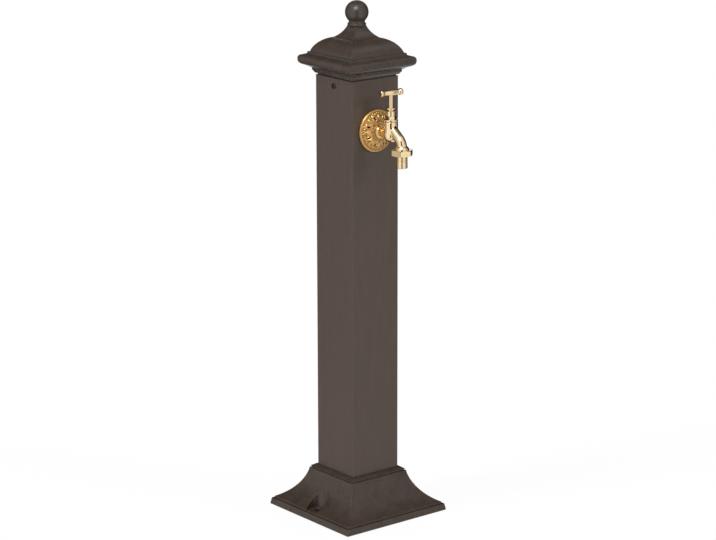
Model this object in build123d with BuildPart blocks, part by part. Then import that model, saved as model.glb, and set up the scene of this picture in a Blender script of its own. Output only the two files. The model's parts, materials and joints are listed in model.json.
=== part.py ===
# Garden standpipe: a square post on a scooped foot, with a moulded cap, a ball and a brass bib tap.
# Lengths are millimetres. The origin is on the ground under the middle of the foot, +Z is up,
# and the tap stands out towards -Y.

import os
from math import cos, radians, sin

from build123d import *

os.makedirs("parts", exist_ok=True)


def keep(piece, name):
    """Label a finished piece and write it to its own file."""
    piece.label = name
    export_step(piece, "parts/" + name + ".step")
    print(name, len(piece.solids()), "solid(s),", round(piece.volume / 1000.0, 2), "cm3")


# Sizes shared by several pieces
clear = 0.3                # play between pieces that are slipped together
running = 0.05             # radial play of a turning or sliding fit
thread_play = 0.05         # radial play between a screw and its thread
cut = 2.0                  # how far a cutter runs past a face
hexagon = 6                # sides of a nut

# Sizes of the post
post_width = 110.0
post_wall = 3.0
post_corner = 2.5          # outer corner radius
post_top = 850.0           # height of its upper end
post_half = post_width / 2
post_inner_half = post_half - post_wall

# Sizes of the foot casting
foot_width = 243.0
foot_wall = 8.0            # flange wall round the hollow underneath
flange_height = 13.0
flange_draft = 2.5         # how far the flange's side leans in
flange_ledge = 1.2         # small flat and rise where the scoop begins
collar_wall = 11.6         # collar thickness outside the post
collar_height = 75.0       # top of the scoop
collar_band = 3.0          # upright band above the scoop
collar_slope = 9.0         # sloping top above the band
collar_lip = 1.2           # collar wall left at the top
scoop_sag_share = 0.16     # depth of the scoop's arc over its chord
shelf_height = 22.0        # upper face of the shelf that carries the post
shelf_thickness = 10.0
shelf_ledge = 6.0          # from the post's inner face to the supply opening
foot_half = foot_width / 2
collar_half = post_half + collar_wall
collar_top = collar_height + collar_band + collar_slope
socket_half = post_half + clear
shelf_opening = post_inner_half - shelf_ledge
shelf_under = shelf_height - shelf_thickness

# Sizes of the anchor pockets, one in the middle of the left and of the right flank
anchor_inset = 23.5        # from the foot's side to the hole
anchor_hole = 5.5          # hole radius
anchor_pocket = 21.0       # radius of the upright pocket above the hole
anchor_seat = 15.0         # height of the pocket's floor
anchor_boss = 17.0         # radius of the boss under the pocket
anchor_spacing = foot_width - 2 * anchor_inset


def foot_outline(plane):
    """Upright section of the foot with its scooped flanks."""
    ledge = foot_half - flange_draft
    scoop_start = (ledge - flange_ledge, flange_height + flange_ledge)
    scoop_end = (collar_half, collar_height)
    scoop_sag = scoop_sag_share * (foot_half - collar_half)
    with BuildSketch(plane) as outline:
        with BuildLine():
            Polyline((0, 0), (foot_half, 0), (ledge, flange_height), scoop_start)
            SagittaArc(scoop_start, scoop_end, scoop_sag)
            Polyline(
                scoop_end,
                (collar_half, collar_height + collar_band),
                (post_half + collar_lip, collar_top),
                (0, collar_top),
            )
            mirror(about=Plane.YZ)
        make_face()
    return outline.sketch


# Sizes of the plate that closes the post's lower end, and of the screws that hold it down
plate_thickness = 5.0
foot_screw_radius = 4.0
foot_screw_head = 6.5      # half the width across the flats
foot_screw_head_height = 5.3
foot_screw_inset = 11.0    # from the post's inner face
foot_screw_stick_out = 2.0  # thread above the plate
foot_screw_spacing = 2 * (post_inner_half - foot_screw_inset)

with BuildPart() as base_casting:
    extrude(foot_outline(Plane.XZ), amount=foot_half + cut, both=True)
    extrude(foot_outline(Plane.YZ), amount=foot_half + cut, both=True, mode=Mode.INTERSECT)
    with BuildSketch(Plane.XY.offset(shelf_under)):
        Rectangle(2 * (foot_half - foot_wall), 2 * (foot_half - foot_wall))
        with GridLocations(anchor_spacing, 0, 2, 1):
            Circle(anchor_boss, mode=Mode.SUBTRACT)
    extrude(amount=-shelf_under - cut, mode=Mode.SUBTRACT)
    with BuildSketch(Plane.XY.offset(shelf_height)):
        RectangleRounded(2 * socket_half, 2 * socket_half, post_corner)
    extrude(amount=collar_top, mode=Mode.SUBTRACT)
    with BuildSketch(Plane.XY.offset(shelf_under - cut)):
        Circle(shelf_opening)
        with GridLocations(foot_screw_spacing, foot_screw_spacing, 2, 2):
            Circle(foot_screw_radius + clear)
    extrude(amount=shelf_thickness + 2 * cut, mode=Mode.SUBTRACT)
    with BuildSketch(Plane.XY.offset(anchor_seat)):
        with GridLocations(anchor_spacing, 0, 2, 1):
            Circle(anchor_pocket)
    extrude(amount=collar_top, mode=Mode.SUBTRACT)
    with BuildSketch(Plane.XY.offset(-cut)):
        with GridLocations(anchor_spacing, 0, 2, 1):
            Circle(anchor_hole)
    extrude(amount=anchor_seat + 2 * cut, mode=Mode.SUBTRACT)

keep(base_casting.part, "base_casting")

# Sizes of the supply run inside the post
riser_radius = 7.5
riser_bore = 6.5
riser_setback = 26.0       # riser axis behind the post's front wall face
half_inch_thread = 10.45   # outer radius of a G1/2 thread
supply_shank = 10.7        # plain shank of the supply connector, above its thread
riser_y = -post_inner_half + riser_setback

with BuildPart() as post_foot_plate:
    with BuildSketch(Plane.XY.offset(shelf_height)):
        Rectangle(2 * (post_inner_half - clear), 2 * (post_inner_half - clear))
        with GridLocations(foot_screw_spacing, foot_screw_spacing, 2, 2):
            Circle(foot_screw_radius + thread_play, mode=Mode.SUBTRACT)
        with Locations((0, riser_y)):
            Circle(supply_shank + clear, mode=Mode.SUBTRACT)
    extrude(amount=plate_thickness)
keep(post_foot_plate.part, "post_foot_plate")

with BuildPart() as post_foot_screws:
    with BuildSketch(Plane.XY.offset(shelf_under - foot_screw_head_height)):
        with GridLocations(foot_screw_spacing, foot_screw_spacing, 2, 2):
            RegularPolygon(foot_screw_head, hexagon, major_radius=False)
    extrude(amount=foot_screw_head_height)
    with BuildSketch(Plane.XY.offset(shelf_under)):
        with GridLocations(foot_screw_spacing, foot_screw_spacing, 2, 2):
            Circle(foot_screw_radius)
    extrude(amount=shelf_thickness + plate_thickness + foot_screw_stick_out)
keep(post_foot_screws.part, "post_foot_screws")

# Sizes that place the tap on the post
tap_drop = 96.5            # inlet axis below the post's upper end
tap_reach = 45.0           # spindle axis out from the post's face
spout_reach = 32.4         # outlet axis out from the spindle axis
tap_height = post_top - tap_drop
spindle_y = -post_half - tap_reach
outlet_y = spindle_y - spout_reach

# Sizes of the screws that hold the wall elbow
elbow_screw_spacing = 46.0
elbow_screw_radius = 2.0
elbow_screw_head = 3.9     # radius of the countersunk head
elbow_screw_taper = 45.0   # slope of the countersunk head, in degrees
elbow_plate = 4.0          # thickness of the elbow's wall plate
elbow_screw_stick_out = 2.0
elbow_screw_length = post_wall + elbow_plate + elbow_screw_stick_out

# Sizes of the cap screws, one in each side wall
cap_screw_radius = 3.0
cap_screw_head = 5.6
cap_screw_head_height = 3.0
cap_screw_drop = 15.0      # below the post's upper end
cap_screw_length = 9.0
cap_screw_socket = 1.9     # half the width of the hexagon socket
cap_screw_z = post_top - cap_screw_drop

with BuildPart() as post_tube:
    with BuildSketch(Plane.XY.offset(shelf_height)):
        RectangleRounded(post_width, post_width, post_corner)
        Rectangle(2 * post_inner_half, 2 * post_inner_half, mode=Mode.SUBTRACT)
    extrude(amount=post_top - shelf_height)
    with BuildSketch(Plane.XZ.offset(post_inner_half - cut)):
        with Locations((0, tap_height)):
            Circle(half_inch_thread + clear)
    extrude(amount=post_wall + 2 * cut, mode=Mode.SUBTRACT)
    with Locations(Plane.XZ.offset(post_half)):
        with Locations((0, tap_height)):
            with GridLocations(elbow_screw_spacing, 0, 2, 1):
                CounterSinkHole(elbow_screw_radius + clear, elbow_screw_head, depth=post_wall + cut)
    with BuildSketch(Plane.YZ.offset(-post_half - cut)):
        with Locations((0, cap_screw_z)):
            Circle(cap_screw_radius + clear)
    extrude(amount=post_width + 2 * cut, mode=Mode.SUBTRACT)
keep(post_tube.part, "post_tube")

# Sizes of the cap casting
cap_overhang = 24.0        # beyond the post's face
cap_height = 93.0          # from the post's upper end to the ball's ring
cap_wall = 4.6
cap_neck = 12.5            # half width under the ball's ring
cap_skirt = 28.0           # depth of the skirt inside the post
cap_skirt_wall = 4.0
cap_reveal = 0.4           # lower edge proud of the post's face
cap_joint = 2.0            # height of the shadow joint above the post
cap_soffit_shares = [(0.190, 0.088), (0.200, 0.128), (0.457, 0.168), (0.733, 0.198)]
cap_roll_shares = [(1.0, 0.310), (0.858, 0.389)]
cap_bead_shares = [(0.398, 0.437), (0.398, 0.456), (0.289, 0.465), (0.279, 0.484)]
cap_crease_share = 0.546   # where dome and neck meet, as a share of the post's half width
cap_crease_rise_share = 0.763
dome_sag_share = 0.165     # depth of the dome's arc over the dome's width
flare_sag_share = 0.130    # depth of the neck's arc over the flare's width
cap_roof_share = 0.710     # flat roof inside, as a share of the cap's height
cap_spring_share = 0.450   # where the inner dome springs
cap_half = post_half + cap_overhang
cap_skirt_half = post_inner_half - clear
cap_top = post_top + cap_height
cap_crease = (post_half * cap_crease_share, post_top + cap_height * cap_crease_rise_share)

# Sizes of the ball and of the stud that holds it
ball_radius = 22.0
ball_lift = 25.0           # ball centre above the cap
ring_radius = 17.3
ring_height = 4.4
ring_round = 1.5
ball_neck = 15.2
stud_radius = 4.0
stud_grip = 12.0           # thread inside the ball
stud_washer_radius = 8.0
stud_washer_thickness = 1.6
stud_nut_half = 6.5
stud_nut_height = 6.5
stud_tail = 2.0            # thread below the nut


def cap_point(share):
    """Point of the cap's outline from its shares of overhang and height."""
    return (post_half + cap_overhang * share[0], post_top + cap_height * share[1])


def cap_outline(plane):
    """Upright section of the cap with its skirt, soffit, roll, dome and flared neck."""
    soffit = [cap_point(share) for share in cap_soffit_shares]
    roll = [cap_point(share) for share in cap_roll_shares]
    bead = [cap_point(share) for share in cap_bead_shares]
    neck = (cap_neck, cap_top)
    dome_sag = dome_sag_share * (bead[-1][0] - cap_crease[0])
    flare_sag = flare_sag_share * (cap_crease[0] - cap_neck)
    with BuildSketch(plane) as outline:
        with BuildLine():
            Polyline(
                (0, post_top - cap_skirt),
                (cap_skirt_half, post_top - cap_skirt),
                (cap_skirt_half, post_top),
                (post_half - post_wall / 2, post_top),
                (post_half - post_wall / 2, post_top + cap_joint),
                (post_half + cap_reveal, post_top + cap_joint),
                *soffit,
            )
            ThreePointArc(soffit[-1], roll[0], roll[1])
            Polyline(roll[1], *bead)
            SagittaArc(bead[-1], cap_crease, dome_sag)
            SagittaArc(cap_crease, neck, -flare_sag)
            Line(neck, (0, cap_top))
            mirror(about=Plane.YZ)
        make_face()
    return outline.sketch


def cap_hollow_outline(plane):
    """Upright section of the space inside the cap."""
    inner_half = cap_skirt_half - cap_skirt_wall
    ledge = post_top + cap_joint + cap_wall
    dome_half = post_half
    spring = (dome_half, post_top + cap_height * cap_spring_share)
    roof = post_top + cap_height * cap_roof_share
    roof_edge = (cap_crease[0] - cap_wall, roof)
    dome_sag = dome_sag_share * (dome_half - roof_edge[0])
    with BuildSketch(plane) as outline:
        with BuildLine():
            Polyline(
                (0, post_top - cap_skirt - cut),
                (inner_half, post_top - cap_skirt - cut),
                (inner_half, ledge),
                (dome_half, ledge),
                spring,
            )
            SagittaArc(spring, roof_edge, dome_sag)
            Line(roof_edge, (0, roof))
            mirror(about=Plane.YZ)
        make_face()
    return outline.sketch


with BuildPart() as cap_hollow:
    extrude(cap_hollow_outline(Plane.XZ), amount=cap_half, both=True)
    extrude(cap_hollow_outline(Plane.YZ), amount=cap_half, both=True, mode=Mode.INTERSECT)

with BuildPart() as cap_casting:
    extrude(cap_outline(Plane.XZ), amount=cap_half + cut, both=True)
    extrude(cap_outline(Plane.YZ), amount=cap_half + cut, both=True, mode=Mode.INTERSECT)
    add(cap_hollow.part, mode=Mode.SUBTRACT)
    with BuildSketch(Plane.XY.offset(cap_top + cut)):
        Circle(stud_radius + clear)
    extrude(amount=-cap_height, mode=Mode.SUBTRACT)
    with BuildSketch(Plane.YZ.offset(-cap_half)):
        with Locations((0, cap_screw_z)):
            Circle(cap_screw_radius + thread_play)
    extrude(amount=2 * cap_half, mode=Mode.SUBTRACT)
keep(cap_casting.part, "cap_casting")

with BuildPart() as cap_screws:
    with BuildSketch(Plane.YZ.offset(post_half)):
        with Locations((0, cap_screw_z)):
            Circle(cap_screw_head)
    extrude(amount=cap_screw_head_height)
    fillet(cap_screws.edges().sort_by(Axis.X)[-1], cap_screw_head_height / 2)
    with BuildSketch(Plane.YZ.offset(post_half)):
        with Locations((0, cap_screw_z)):
            Circle(cap_screw_radius)
    extrude(amount=-cap_screw_length)
    with BuildSketch(Plane.YZ.offset(post_half + cap_screw_head_height + cut)):
        with Locations((0, cap_screw_z)):
            RegularPolygon(cap_screw_socket, hexagon, major_radius=False)
    extrude(amount=-cap_screw_head_height, mode=Mode.SUBTRACT)
    mirror(about=Plane.YZ)
keep(cap_screws.part, "cap_screws")

ball_z = cap_top + ball_lift
ball_meets_neck = ball_z - (ball_radius ** 2 - ball_neck ** 2) ** 0.5
with BuildPart() as ball_finial:
    with BuildSketch(Plane.XZ):
        with BuildLine():
            Polyline(
                (0, ball_z + ball_radius),
                (0, cap_top),
                (ring_radius, cap_top),
                (ring_radius, cap_top + ring_height),
                (ball_neck, cap_top + ring_height),
                (ball_neck, ball_meets_neck),
            )
            ThreePointArc(
                (ball_neck, ball_meets_neck), (ball_radius, ball_z), (0, ball_z + ball_radius)
            )
        make_face()
    revolve(axis=Axis.Z)
    fillet(ball_finial.edges().filter_by(GeomType.CIRCLE).sort_by(SortBy.RADIUS)[-2:], ring_round)
    with BuildSketch(Plane.XY.offset(cap_top)):
        Circle(stud_radius + thread_play)
    extrude(amount=stud_grip + clear, mode=Mode.SUBTRACT)
keep(ball_finial.part, "ball_finial")

roof_z = post_top + cap_height * cap_roof_share
nut_top = roof_z - stud_washer_thickness
with BuildPart() as finial_stud:
    with BuildSketch(Plane.XY.offset(cap_top + stud_grip)):
        Circle(stud_radius)
    extrude(amount=nut_top - stud_nut_height - stud_tail - cap_top - stud_grip)
keep(finial_stud.part, "finial_stud")

with BuildPart() as finial_washer:
    with BuildSketch(Plane.XY.offset(nut_top)):
        Circle(stud_washer_radius)
        Circle(stud_radius + clear, mode=Mode.SUBTRACT)
    extrude(amount=stud_washer_thickness)
keep(finial_washer.part, "finial_washer")

with BuildPart() as finial_nut:
    with BuildSketch(Plane.XY.offset(nut_top)):
        RegularPolygon(stud_nut_half, hexagon, major_radius=False)
        Circle(stud_radius + thread_play, mode=Mode.SUBTRACT)
    extrude(amount=-stud_nut_height)
keep(finial_nut.part, "finial_nut")

# Sizes of the rosette that covers the hole in the post
rosette_radius = 40.5
rosette_rim = 6.2          # depth of the rim's side wall
rosette_wall = 1.8
rosette_bead = 1.9         # radius of the rounded rim
rosette_cove = 5.0         # depth of the groove inside the rim
rosette_boss_share = 0.3704   # the places and sizes below are shares of the rosette's radius
rosette_boss_radius = rosette_radius * rosette_boss_share
rosette_boss_depth = 14.0
rosette_dome_sag = 3.0
rosette_relief = 1.1       # petals above the dome
petal_count = 8
petal_place_share = 0.6173
petal_place = rosette_radius * petal_place_share       # radius of the ring of petals
petal_length_share = 0.4198
petal_length = rosette_radius * petal_length_share
petal_width_share = 0.2963
petal_width = rosette_radius * petal_width_share
lace_hole_share = 0.0593
lace_hole = rosette_radius * lace_hole_share           # radius of the large piercings
lace_place_share = 0.679
lace_place = rosette_radius * lace_place_share
edge_hole_count = 24
edge_hole_share = 0.0296
edge_hole = rosette_radius * edge_hole_share
edge_hole_place_share = 0.8444
edge_hole_place = rosette_radius * edge_hole_place_share
tap_axis = Axis((0, 0, tap_height), (0, 1, 0))


def rosette_section(relief):
    """Half section of the rosette's domed face, with its front raised by a relief."""
    cove_radius = rosette_radius - 2 * rosette_bead
    with BuildSketch(Plane.YZ) as section:
        with BuildLine():
            Polyline(
                (-post_half, tap_height + rosette_radius - rosette_wall),
                (-post_half, tap_height + rosette_radius),
                (-post_half - rosette_rim + rosette_bead, tap_height + rosette_radius),
            )
            ThreePointArc(
                (-post_half - rosette_rim + rosette_bead, tap_height + rosette_radius),
                (-post_half - rosette_rim, tap_height + rosette_radius - rosette_bead),
                (-post_half - rosette_cove - relief, tap_height + cove_radius),
            )
            SagittaArc(
                (-post_half - rosette_cove - relief, tap_height + cove_radius),
                (-post_half - rosette_boss_depth - relief, tap_height + rosette_boss_radius),
                -rosette_dome_sag,
            )
            Polyline(
                (-post_half - rosette_boss_depth - relief, tap_height + rosette_boss_radius),
                (-post_half - rosette_boss_depth - relief, tap_height + half_inch_thread + clear),
                (-post_half - rosette_boss_depth + rosette_wall, tap_height + half_inch_thread + clear),
                (-post_half - rosette_boss_depth + rosette_wall, tap_height + rosette_boss_radius),
            )
            SagittaArc(
                (-post_half - rosette_boss_depth + rosette_wall, tap_height + rosette_boss_radius),
                (-post_half - rosette_cove + rosette_wall, tap_height + cove_radius),
                rosette_dome_sag,
            )
            Polyline(
                (-post_half - rosette_cove + rosette_wall, tap_height + cove_radius),
                (-post_half - rosette_cove + rosette_wall, tap_height + rosette_radius - rosette_wall),
                (-post_half, tap_height + rosette_radius - rosette_wall),
            )
        make_face()
    return section.sketch


with BuildPart() as rosette_petals:
    revolve(rosette_section(rosette_relief), axis=tap_axis)
    with BuildSketch(Plane.XZ.offset(post_half)):
        with Locations((0, tap_height)):
            with PolarLocations(petal_place, petal_count):
                Ellipse(petal_length / 2, petal_width / 2)
    extrude(amount=2 * rosette_boss_depth, mode=Mode.INTERSECT)

with BuildPart() as rosette:
    revolve(rosette_section(0), axis=tap_axis)
    add(rosette_petals.part)
    with BuildSketch(Plane.XZ.offset(post_half)):
        with Locations((0, tap_height)):
            with PolarLocations(lace_place, petal_count, start_angle=180 / petal_count):
                Circle(lace_hole)
            with PolarLocations(edge_hole_place, edge_hole_count):
                Circle(edge_hole)
    extrude(amount=2 * rosette_boss_depth, mode=Mode.SUBTRACT)
keep(rosette.part, "rosette")

# Sizes of the tap body
barrel_radius = 13.2
body_bulb = 15.3           # radius of the body's round middle, on the inlet axis
barrel_low = 4.0           # centre of the round lower end above the inlet axis
barrel_round_middle = 45.0  # halfway round that end's quarter arc, in degrees
barrel_rise = 24.5         # upper face above the inlet axis
chamber_radius = 9.95
seat_rise = 8.5            # valve seat above the inlet axis
seat_hole = 5.5
seat_lip = 1.7             # width of the raised ring round the seat
seat_lip_height = 1.2
inlet_bore = 5.5
inlet_past = 5.5           # inlet bore runs this far past the spindle axis
inlet_neck = 9.5
inlet_collar = 12.5
inlet_collar_thickness = 3.5
inlet_thread_length = 28.0  # behind the collar
spout_radius = 9.35
spout_bend = 21.0
spout_start_rise = 13.1
spout_corner_drop = 11.5
outlet_drop = 29.0         # end of the outlet thread below the inlet axis
outlet_thread = 13.2
outlet_thread_length = 7.0
outlet_flare = 4.5         # height of the flare above the thread
outlet_flare_lip = 0.8
outlet_flare_tuck = 0.5    # the flare's upper edge inside the spout's skin
waterway_radius = 4.5
waterway_bend = 20.0
waterway_start = 8.5       # forward of the spindle axis
waterway_start_rise = 14.5
waterway_corner_drop = 19.2
barrel_z = tap_height + barrel_low
body_top_z = tap_height + barrel_rise
seat_z = tap_height + seat_rise
outlet_end_z = tap_height - outlet_drop
shoulder_z = outlet_end_z + outlet_thread_length
collar_y = -post_half - rosette_boss_depth
inlet_end_y = collar_y + inlet_thread_length
spindle_axis = Axis((0, spindle_y, 0), (0, 0, 1))
outlet_axis = Axis((0, outlet_y, 0), (0, 0, 1))


def spindle_level(z):
    """Level plane centred on the spindle's axis."""
    return Plane((0, spindle_y, z))


def outlet_level(z):
    """Level plane centred on the outlet's axis."""
    return Plane((0, outlet_y, z))


def inlet_section(y):
    """Upright plane across the inlet's axis, facing away from the post."""
    return Plane((0, y, tap_height), x_dir=(1, 0, 0), z_dir=(0, -1, 0))


with BuildPart() as tap_body:
    with BuildSketch(Plane.YZ):
        with BuildLine():
            ThreePointArc(
                (spindle_y, barrel_z - barrel_radius),
                (
                    spindle_y + barrel_radius * sin(radians(barrel_round_middle)),
                    barrel_z - barrel_radius * cos(radians(barrel_round_middle)),
                ),
                (spindle_y + barrel_radius, barrel_z),
            )
            Polyline(
                (spindle_y + barrel_radius, barrel_z),
                (spindle_y + barrel_radius, body_top_z),
                (spindle_y, body_top_z),
                (spindle_y, barrel_z - barrel_radius),
            )
        make_face()
    revolve(axis=spindle_axis)
    with Locations((0, spindle_y, tap_height)):
        Sphere(body_bulb)
    with BuildSketch(inlet_section(spindle_y)):
        Circle(inlet_neck)
    extrude(amount=spindle_y - collar_y)
    with BuildSketch(inlet_section(collar_y)):
        Circle(inlet_collar)
    extrude(amount=inlet_collar_thickness)
    with BuildSketch(inlet_section(collar_y)):
        Circle(half_inch_thread)
    extrude(amount=-inlet_thread_length)
    with BuildLine(Plane.YZ) as spout_path:
        FilletPolyline(
            (spindle_y, tap_height + spout_start_rise),
            (outlet_y, tap_height - spout_corner_drop),
            (outlet_y, shoulder_z),
            radius=spout_bend,
        )
    with BuildSketch(Plane(spout_path.line @ 0, z_dir=spout_path.line % 0)):
        Circle(spout_radius)
    sweep(path=spout_path.line)
    with BuildSketch(Plane.YZ):
        with BuildLine():
            Polyline(
                (outlet_y, outlet_end_z),
                (outlet_y + outlet_thread, outlet_end_z),
                (outlet_y + outlet_thread, shoulder_z),
                (outlet_y + outlet_thread - outlet_flare_lip, shoulder_z + outlet_flare_lip),
            )
            SagittaArc(
                (outlet_y + outlet_thread - outlet_flare_lip, shoulder_z + outlet_flare_lip),
                (outlet_y + spout_radius - outlet_flare_tuck, shoulder_z + outlet_flare),
                -outlet_flare_lip,
            )
            Polyline(
                (outlet_y + spout_radius - outlet_flare_tuck, shoulder_z + outlet_flare),
                (outlet_y, shoulder_z + outlet_flare),
                (outlet_y, outlet_end_z),
            )
        make_face()
    revolve(axis=outlet_axis)
    with BuildSketch(spindle_level(seat_z)):
        Circle(chamber_radius)
    extrude(amount=body_top_z - seat_z + cut, mode=Mode.SUBTRACT)
    with BuildSketch(spindle_level(seat_z)):
        Circle(seat_hole + seat_lip)
    extrude(amount=seat_lip_height)
    with BuildSketch(spindle_level(tap_height)):
        Circle(seat_hole)
    extrude(amount=seat_rise + seat_lip_height + cut, mode=Mode.SUBTRACT)
    with BuildSketch(inlet_section(inlet_end_y)):
        Circle(inlet_bore)
    extrude(amount=inlet_end_y - spindle_y + inlet_past, mode=Mode.SUBTRACT)
    with BuildLine(Plane.YZ) as waterway:
        FilletPolyline(
            (spindle_y - waterway_start, tap_height + waterway_start_rise),
            (outlet_y, tap_height - waterway_corner_drop),
            (outlet_y, outlet_end_z - cut / 2),
            radius=waterway_bend,
        )
    with BuildSketch(Plane(waterway.line @ 0, z_dir=waterway.line % 0)):
        Circle(waterway_radius)
    sweep(path=waterway.line, mode=Mode.SUBTRACT)
keep(tap_body.part, "tap_body")

# Sizes of the bonnet, its washer, the gland screw and the packing
bonnet_washer_thickness = 1.0
bonnet_thread_length = 5.5  # below the body's upper face
bonnet_flange = 3.0
bonnet_chamfer = 0.7
bonnet_hexagon = 8.8       # half the width across the flats
bonnet_hexagon_height = 6.0
bonnet_neck = 8.4
bonnet_neck_height = 9.0
bonnet_web = 3.0           # wall between the spindle's thread and the packing
packing_height = 4.5
gland_neck = 5.5
gland_neck_height = 10.3
gland_gap = 3.8            # bare neck of the gland screw above the bonnet
gland_head = 9.2
gland_head_height = 2.6
gland_head_round = 0.6
bonnet_z = body_top_z + bonnet_washer_thickness
bonnet_hexagon_z = bonnet_z + bonnet_flange
bonnet_neck_z = bonnet_hexagon_z + bonnet_hexagon_height
bonnet_top_z = bonnet_neck_z + bonnet_neck_height
gland_head_z = bonnet_top_z + gland_gap
packing_top_z = gland_head_z - gland_neck_height
packing_z = packing_top_z - packing_height
bonnet_web_z = packing_z - bonnet_web

# Sizes of the spindle, its tenon and lifting thread
spindle_radius = 4.2
spindle_thread = 5.2
spindle_lift = 4.0         # travel from shut to fully open
spindle_tenon = 3.0

# Sizes of the tee handle
handle_rise = 77.6         # bar axis above the inlet axis
handle_length = 47.0
handle_turn = -7.6         # bar's turn from +X when the tap is shut, in degrees
handle_middle = 5.4        # radius at the middle of the bar
handle_waist = 4.7
handle_knob = 6.4
handle_end = 5.6
handle_waist_share = 0.53
handle_knob_shares = [0.74, 0.86, 0.97]
handle_skin = 1.6          # bar left above the tenon
handle_pin_radius = 1.2

# Sizes of the jumper, its washer and its nut
jumper_radius = 7.6
jumper_thickness = 2.0
jumper_stem = 2.2
jumper_stem_length = 6.0
jumper_stud = 1.6
jumper_play = 0.2          # between the jumper and the spindle's end
jumper_washer_thickness = 3.0
jumper_nut_half = 2.75     # half the width across the flats
jumper_nut_height = 2.2
handle_z = tap_height + handle_rise
jumper_washer_z = seat_z + seat_lip_height
jumper_z = jumper_washer_z + jumper_washer_thickness
spindle_z = jumper_z + jumper_thickness + jumper_play
spindle_thread_top = bonnet_web_z - spindle_lift - clear
spindle_shoulder_z = handle_z - (handle_middle ** 2 - spindle_radius ** 2) ** 0.5
tenon_top_z = handle_z + handle_middle - handle_skin

with BuildPart() as bonnet_washer:
    with BuildSketch(spindle_level(body_top_z)):
        Circle(barrel_radius - clear)
        Circle(chamber_radius, mode=Mode.SUBTRACT)
    extrude(amount=bonnet_washer_thickness)
keep(bonnet_washer.part, "bonnet_washer")

with BuildPart() as bonnet:
    with BuildSketch(spindle_level(bonnet_z)):
        Circle(barrel_radius)
    extrude(amount=bonnet_flange)
    chamfer(bonnet.edges().group_by(Axis.Z)[-1], bonnet_chamfer)
    with BuildSketch(spindle_level(bonnet_z)):
        Circle(chamber_radius - thread_play)
    extrude(amount=-bonnet_thread_length - bonnet_washer_thickness)
    with BuildSketch(spindle_level(bonnet_hexagon_z)):
        RegularPolygon(bonnet_hexagon, hexagon, major_radius=False)
    extrude(amount=bonnet_hexagon_height)
    with BuildSketch(spindle_level(bonnet_neck_z)):
        Circle(bonnet_neck)
    extrude(amount=bonnet_neck_height)
    with BuildSketch(spindle_level(body_top_z - bonnet_thread_length - cut)):
        Circle(spindle_thread + running)
    extrude(amount=bonnet_web_z - body_top_z + bonnet_thread_length + cut, mode=Mode.SUBTRACT)
    with BuildSketch(spindle_level(bonnet_web_z - cut)):
        Circle(spindle_radius + running)
    extrude(amount=bonnet_web + 2 * cut, mode=Mode.SUBTRACT)
    with BuildSketch(spindle_level(packing_z)):
        Circle(gland_neck + thread_play)
    extrude(amount=bonnet_top_z - packing_z + cut, mode=Mode.SUBTRACT)
keep(bonnet.part, "bonnet")

with BuildPart() as gland_packing:
    with BuildSketch(spindle_level(packing_z)):
        Circle(gland_neck + thread_play)
        Circle(spindle_radius + running, mode=Mode.SUBTRACT)
    extrude(amount=packing_height)
keep(gland_packing.part, "gland_packing")

with BuildPart() as gland_screw:
    with BuildSketch(spindle_level(packing_top_z)):
        Circle(gland_neck)
    extrude(amount=gland_neck_height)
    with BuildSketch(spindle_level(gland_head_z)):
        Circle(gland_head)
    extrude(amount=gland_head_height)
    fillet(gland_screw.edges().filter_by(GeomType.CIRCLE).sort_by(SortBy.RADIUS)[-2:], gland_head_round)
    with BuildSketch(spindle_level(packing_top_z - cut)):
        Circle(spindle_radius + running)
    extrude(amount=gland_neck_height + gland_head_height + 2 * cut, mode=Mode.SUBTRACT)
keep(gland_screw.part, "gland_screw")

handle_plane = Plane(
    (0, spindle_y, handle_z),
    x_dir=(cos(radians(handle_turn)), sin(radians(handle_turn)), 0),
    z_dir=(sin(radians(handle_turn)), -cos(radians(handle_turn)), 0),
)

with BuildPart() as spindle:
    with BuildSketch(spindle_level(spindle_z)):
        Circle(spindle_radius)
    extrude(amount=spindle_shoulder_z - spindle_z)
    with BuildSketch(spindle_level(spindle_z)):
        Circle(spindle_thread)
    extrude(amount=spindle_thread_top - spindle_z)
    with BuildSketch(spindle_level(spindle_shoulder_z)):
        Circle(spindle_tenon)
    extrude(amount=tenon_top_z - spindle_shoulder_z)
    with BuildSketch(spindle_level(spindle_z)):
        Circle(jumper_stem + running)
    extrude(amount=jumper_stem_length + clear, mode=Mode.SUBTRACT)
    with BuildSketch(handle_plane):
        Circle(handle_pin_radius + thread_play)
    extrude(amount=spindle_radius, both=True, mode=Mode.SUBTRACT)
keep(spindle.part, "spindle")

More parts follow.
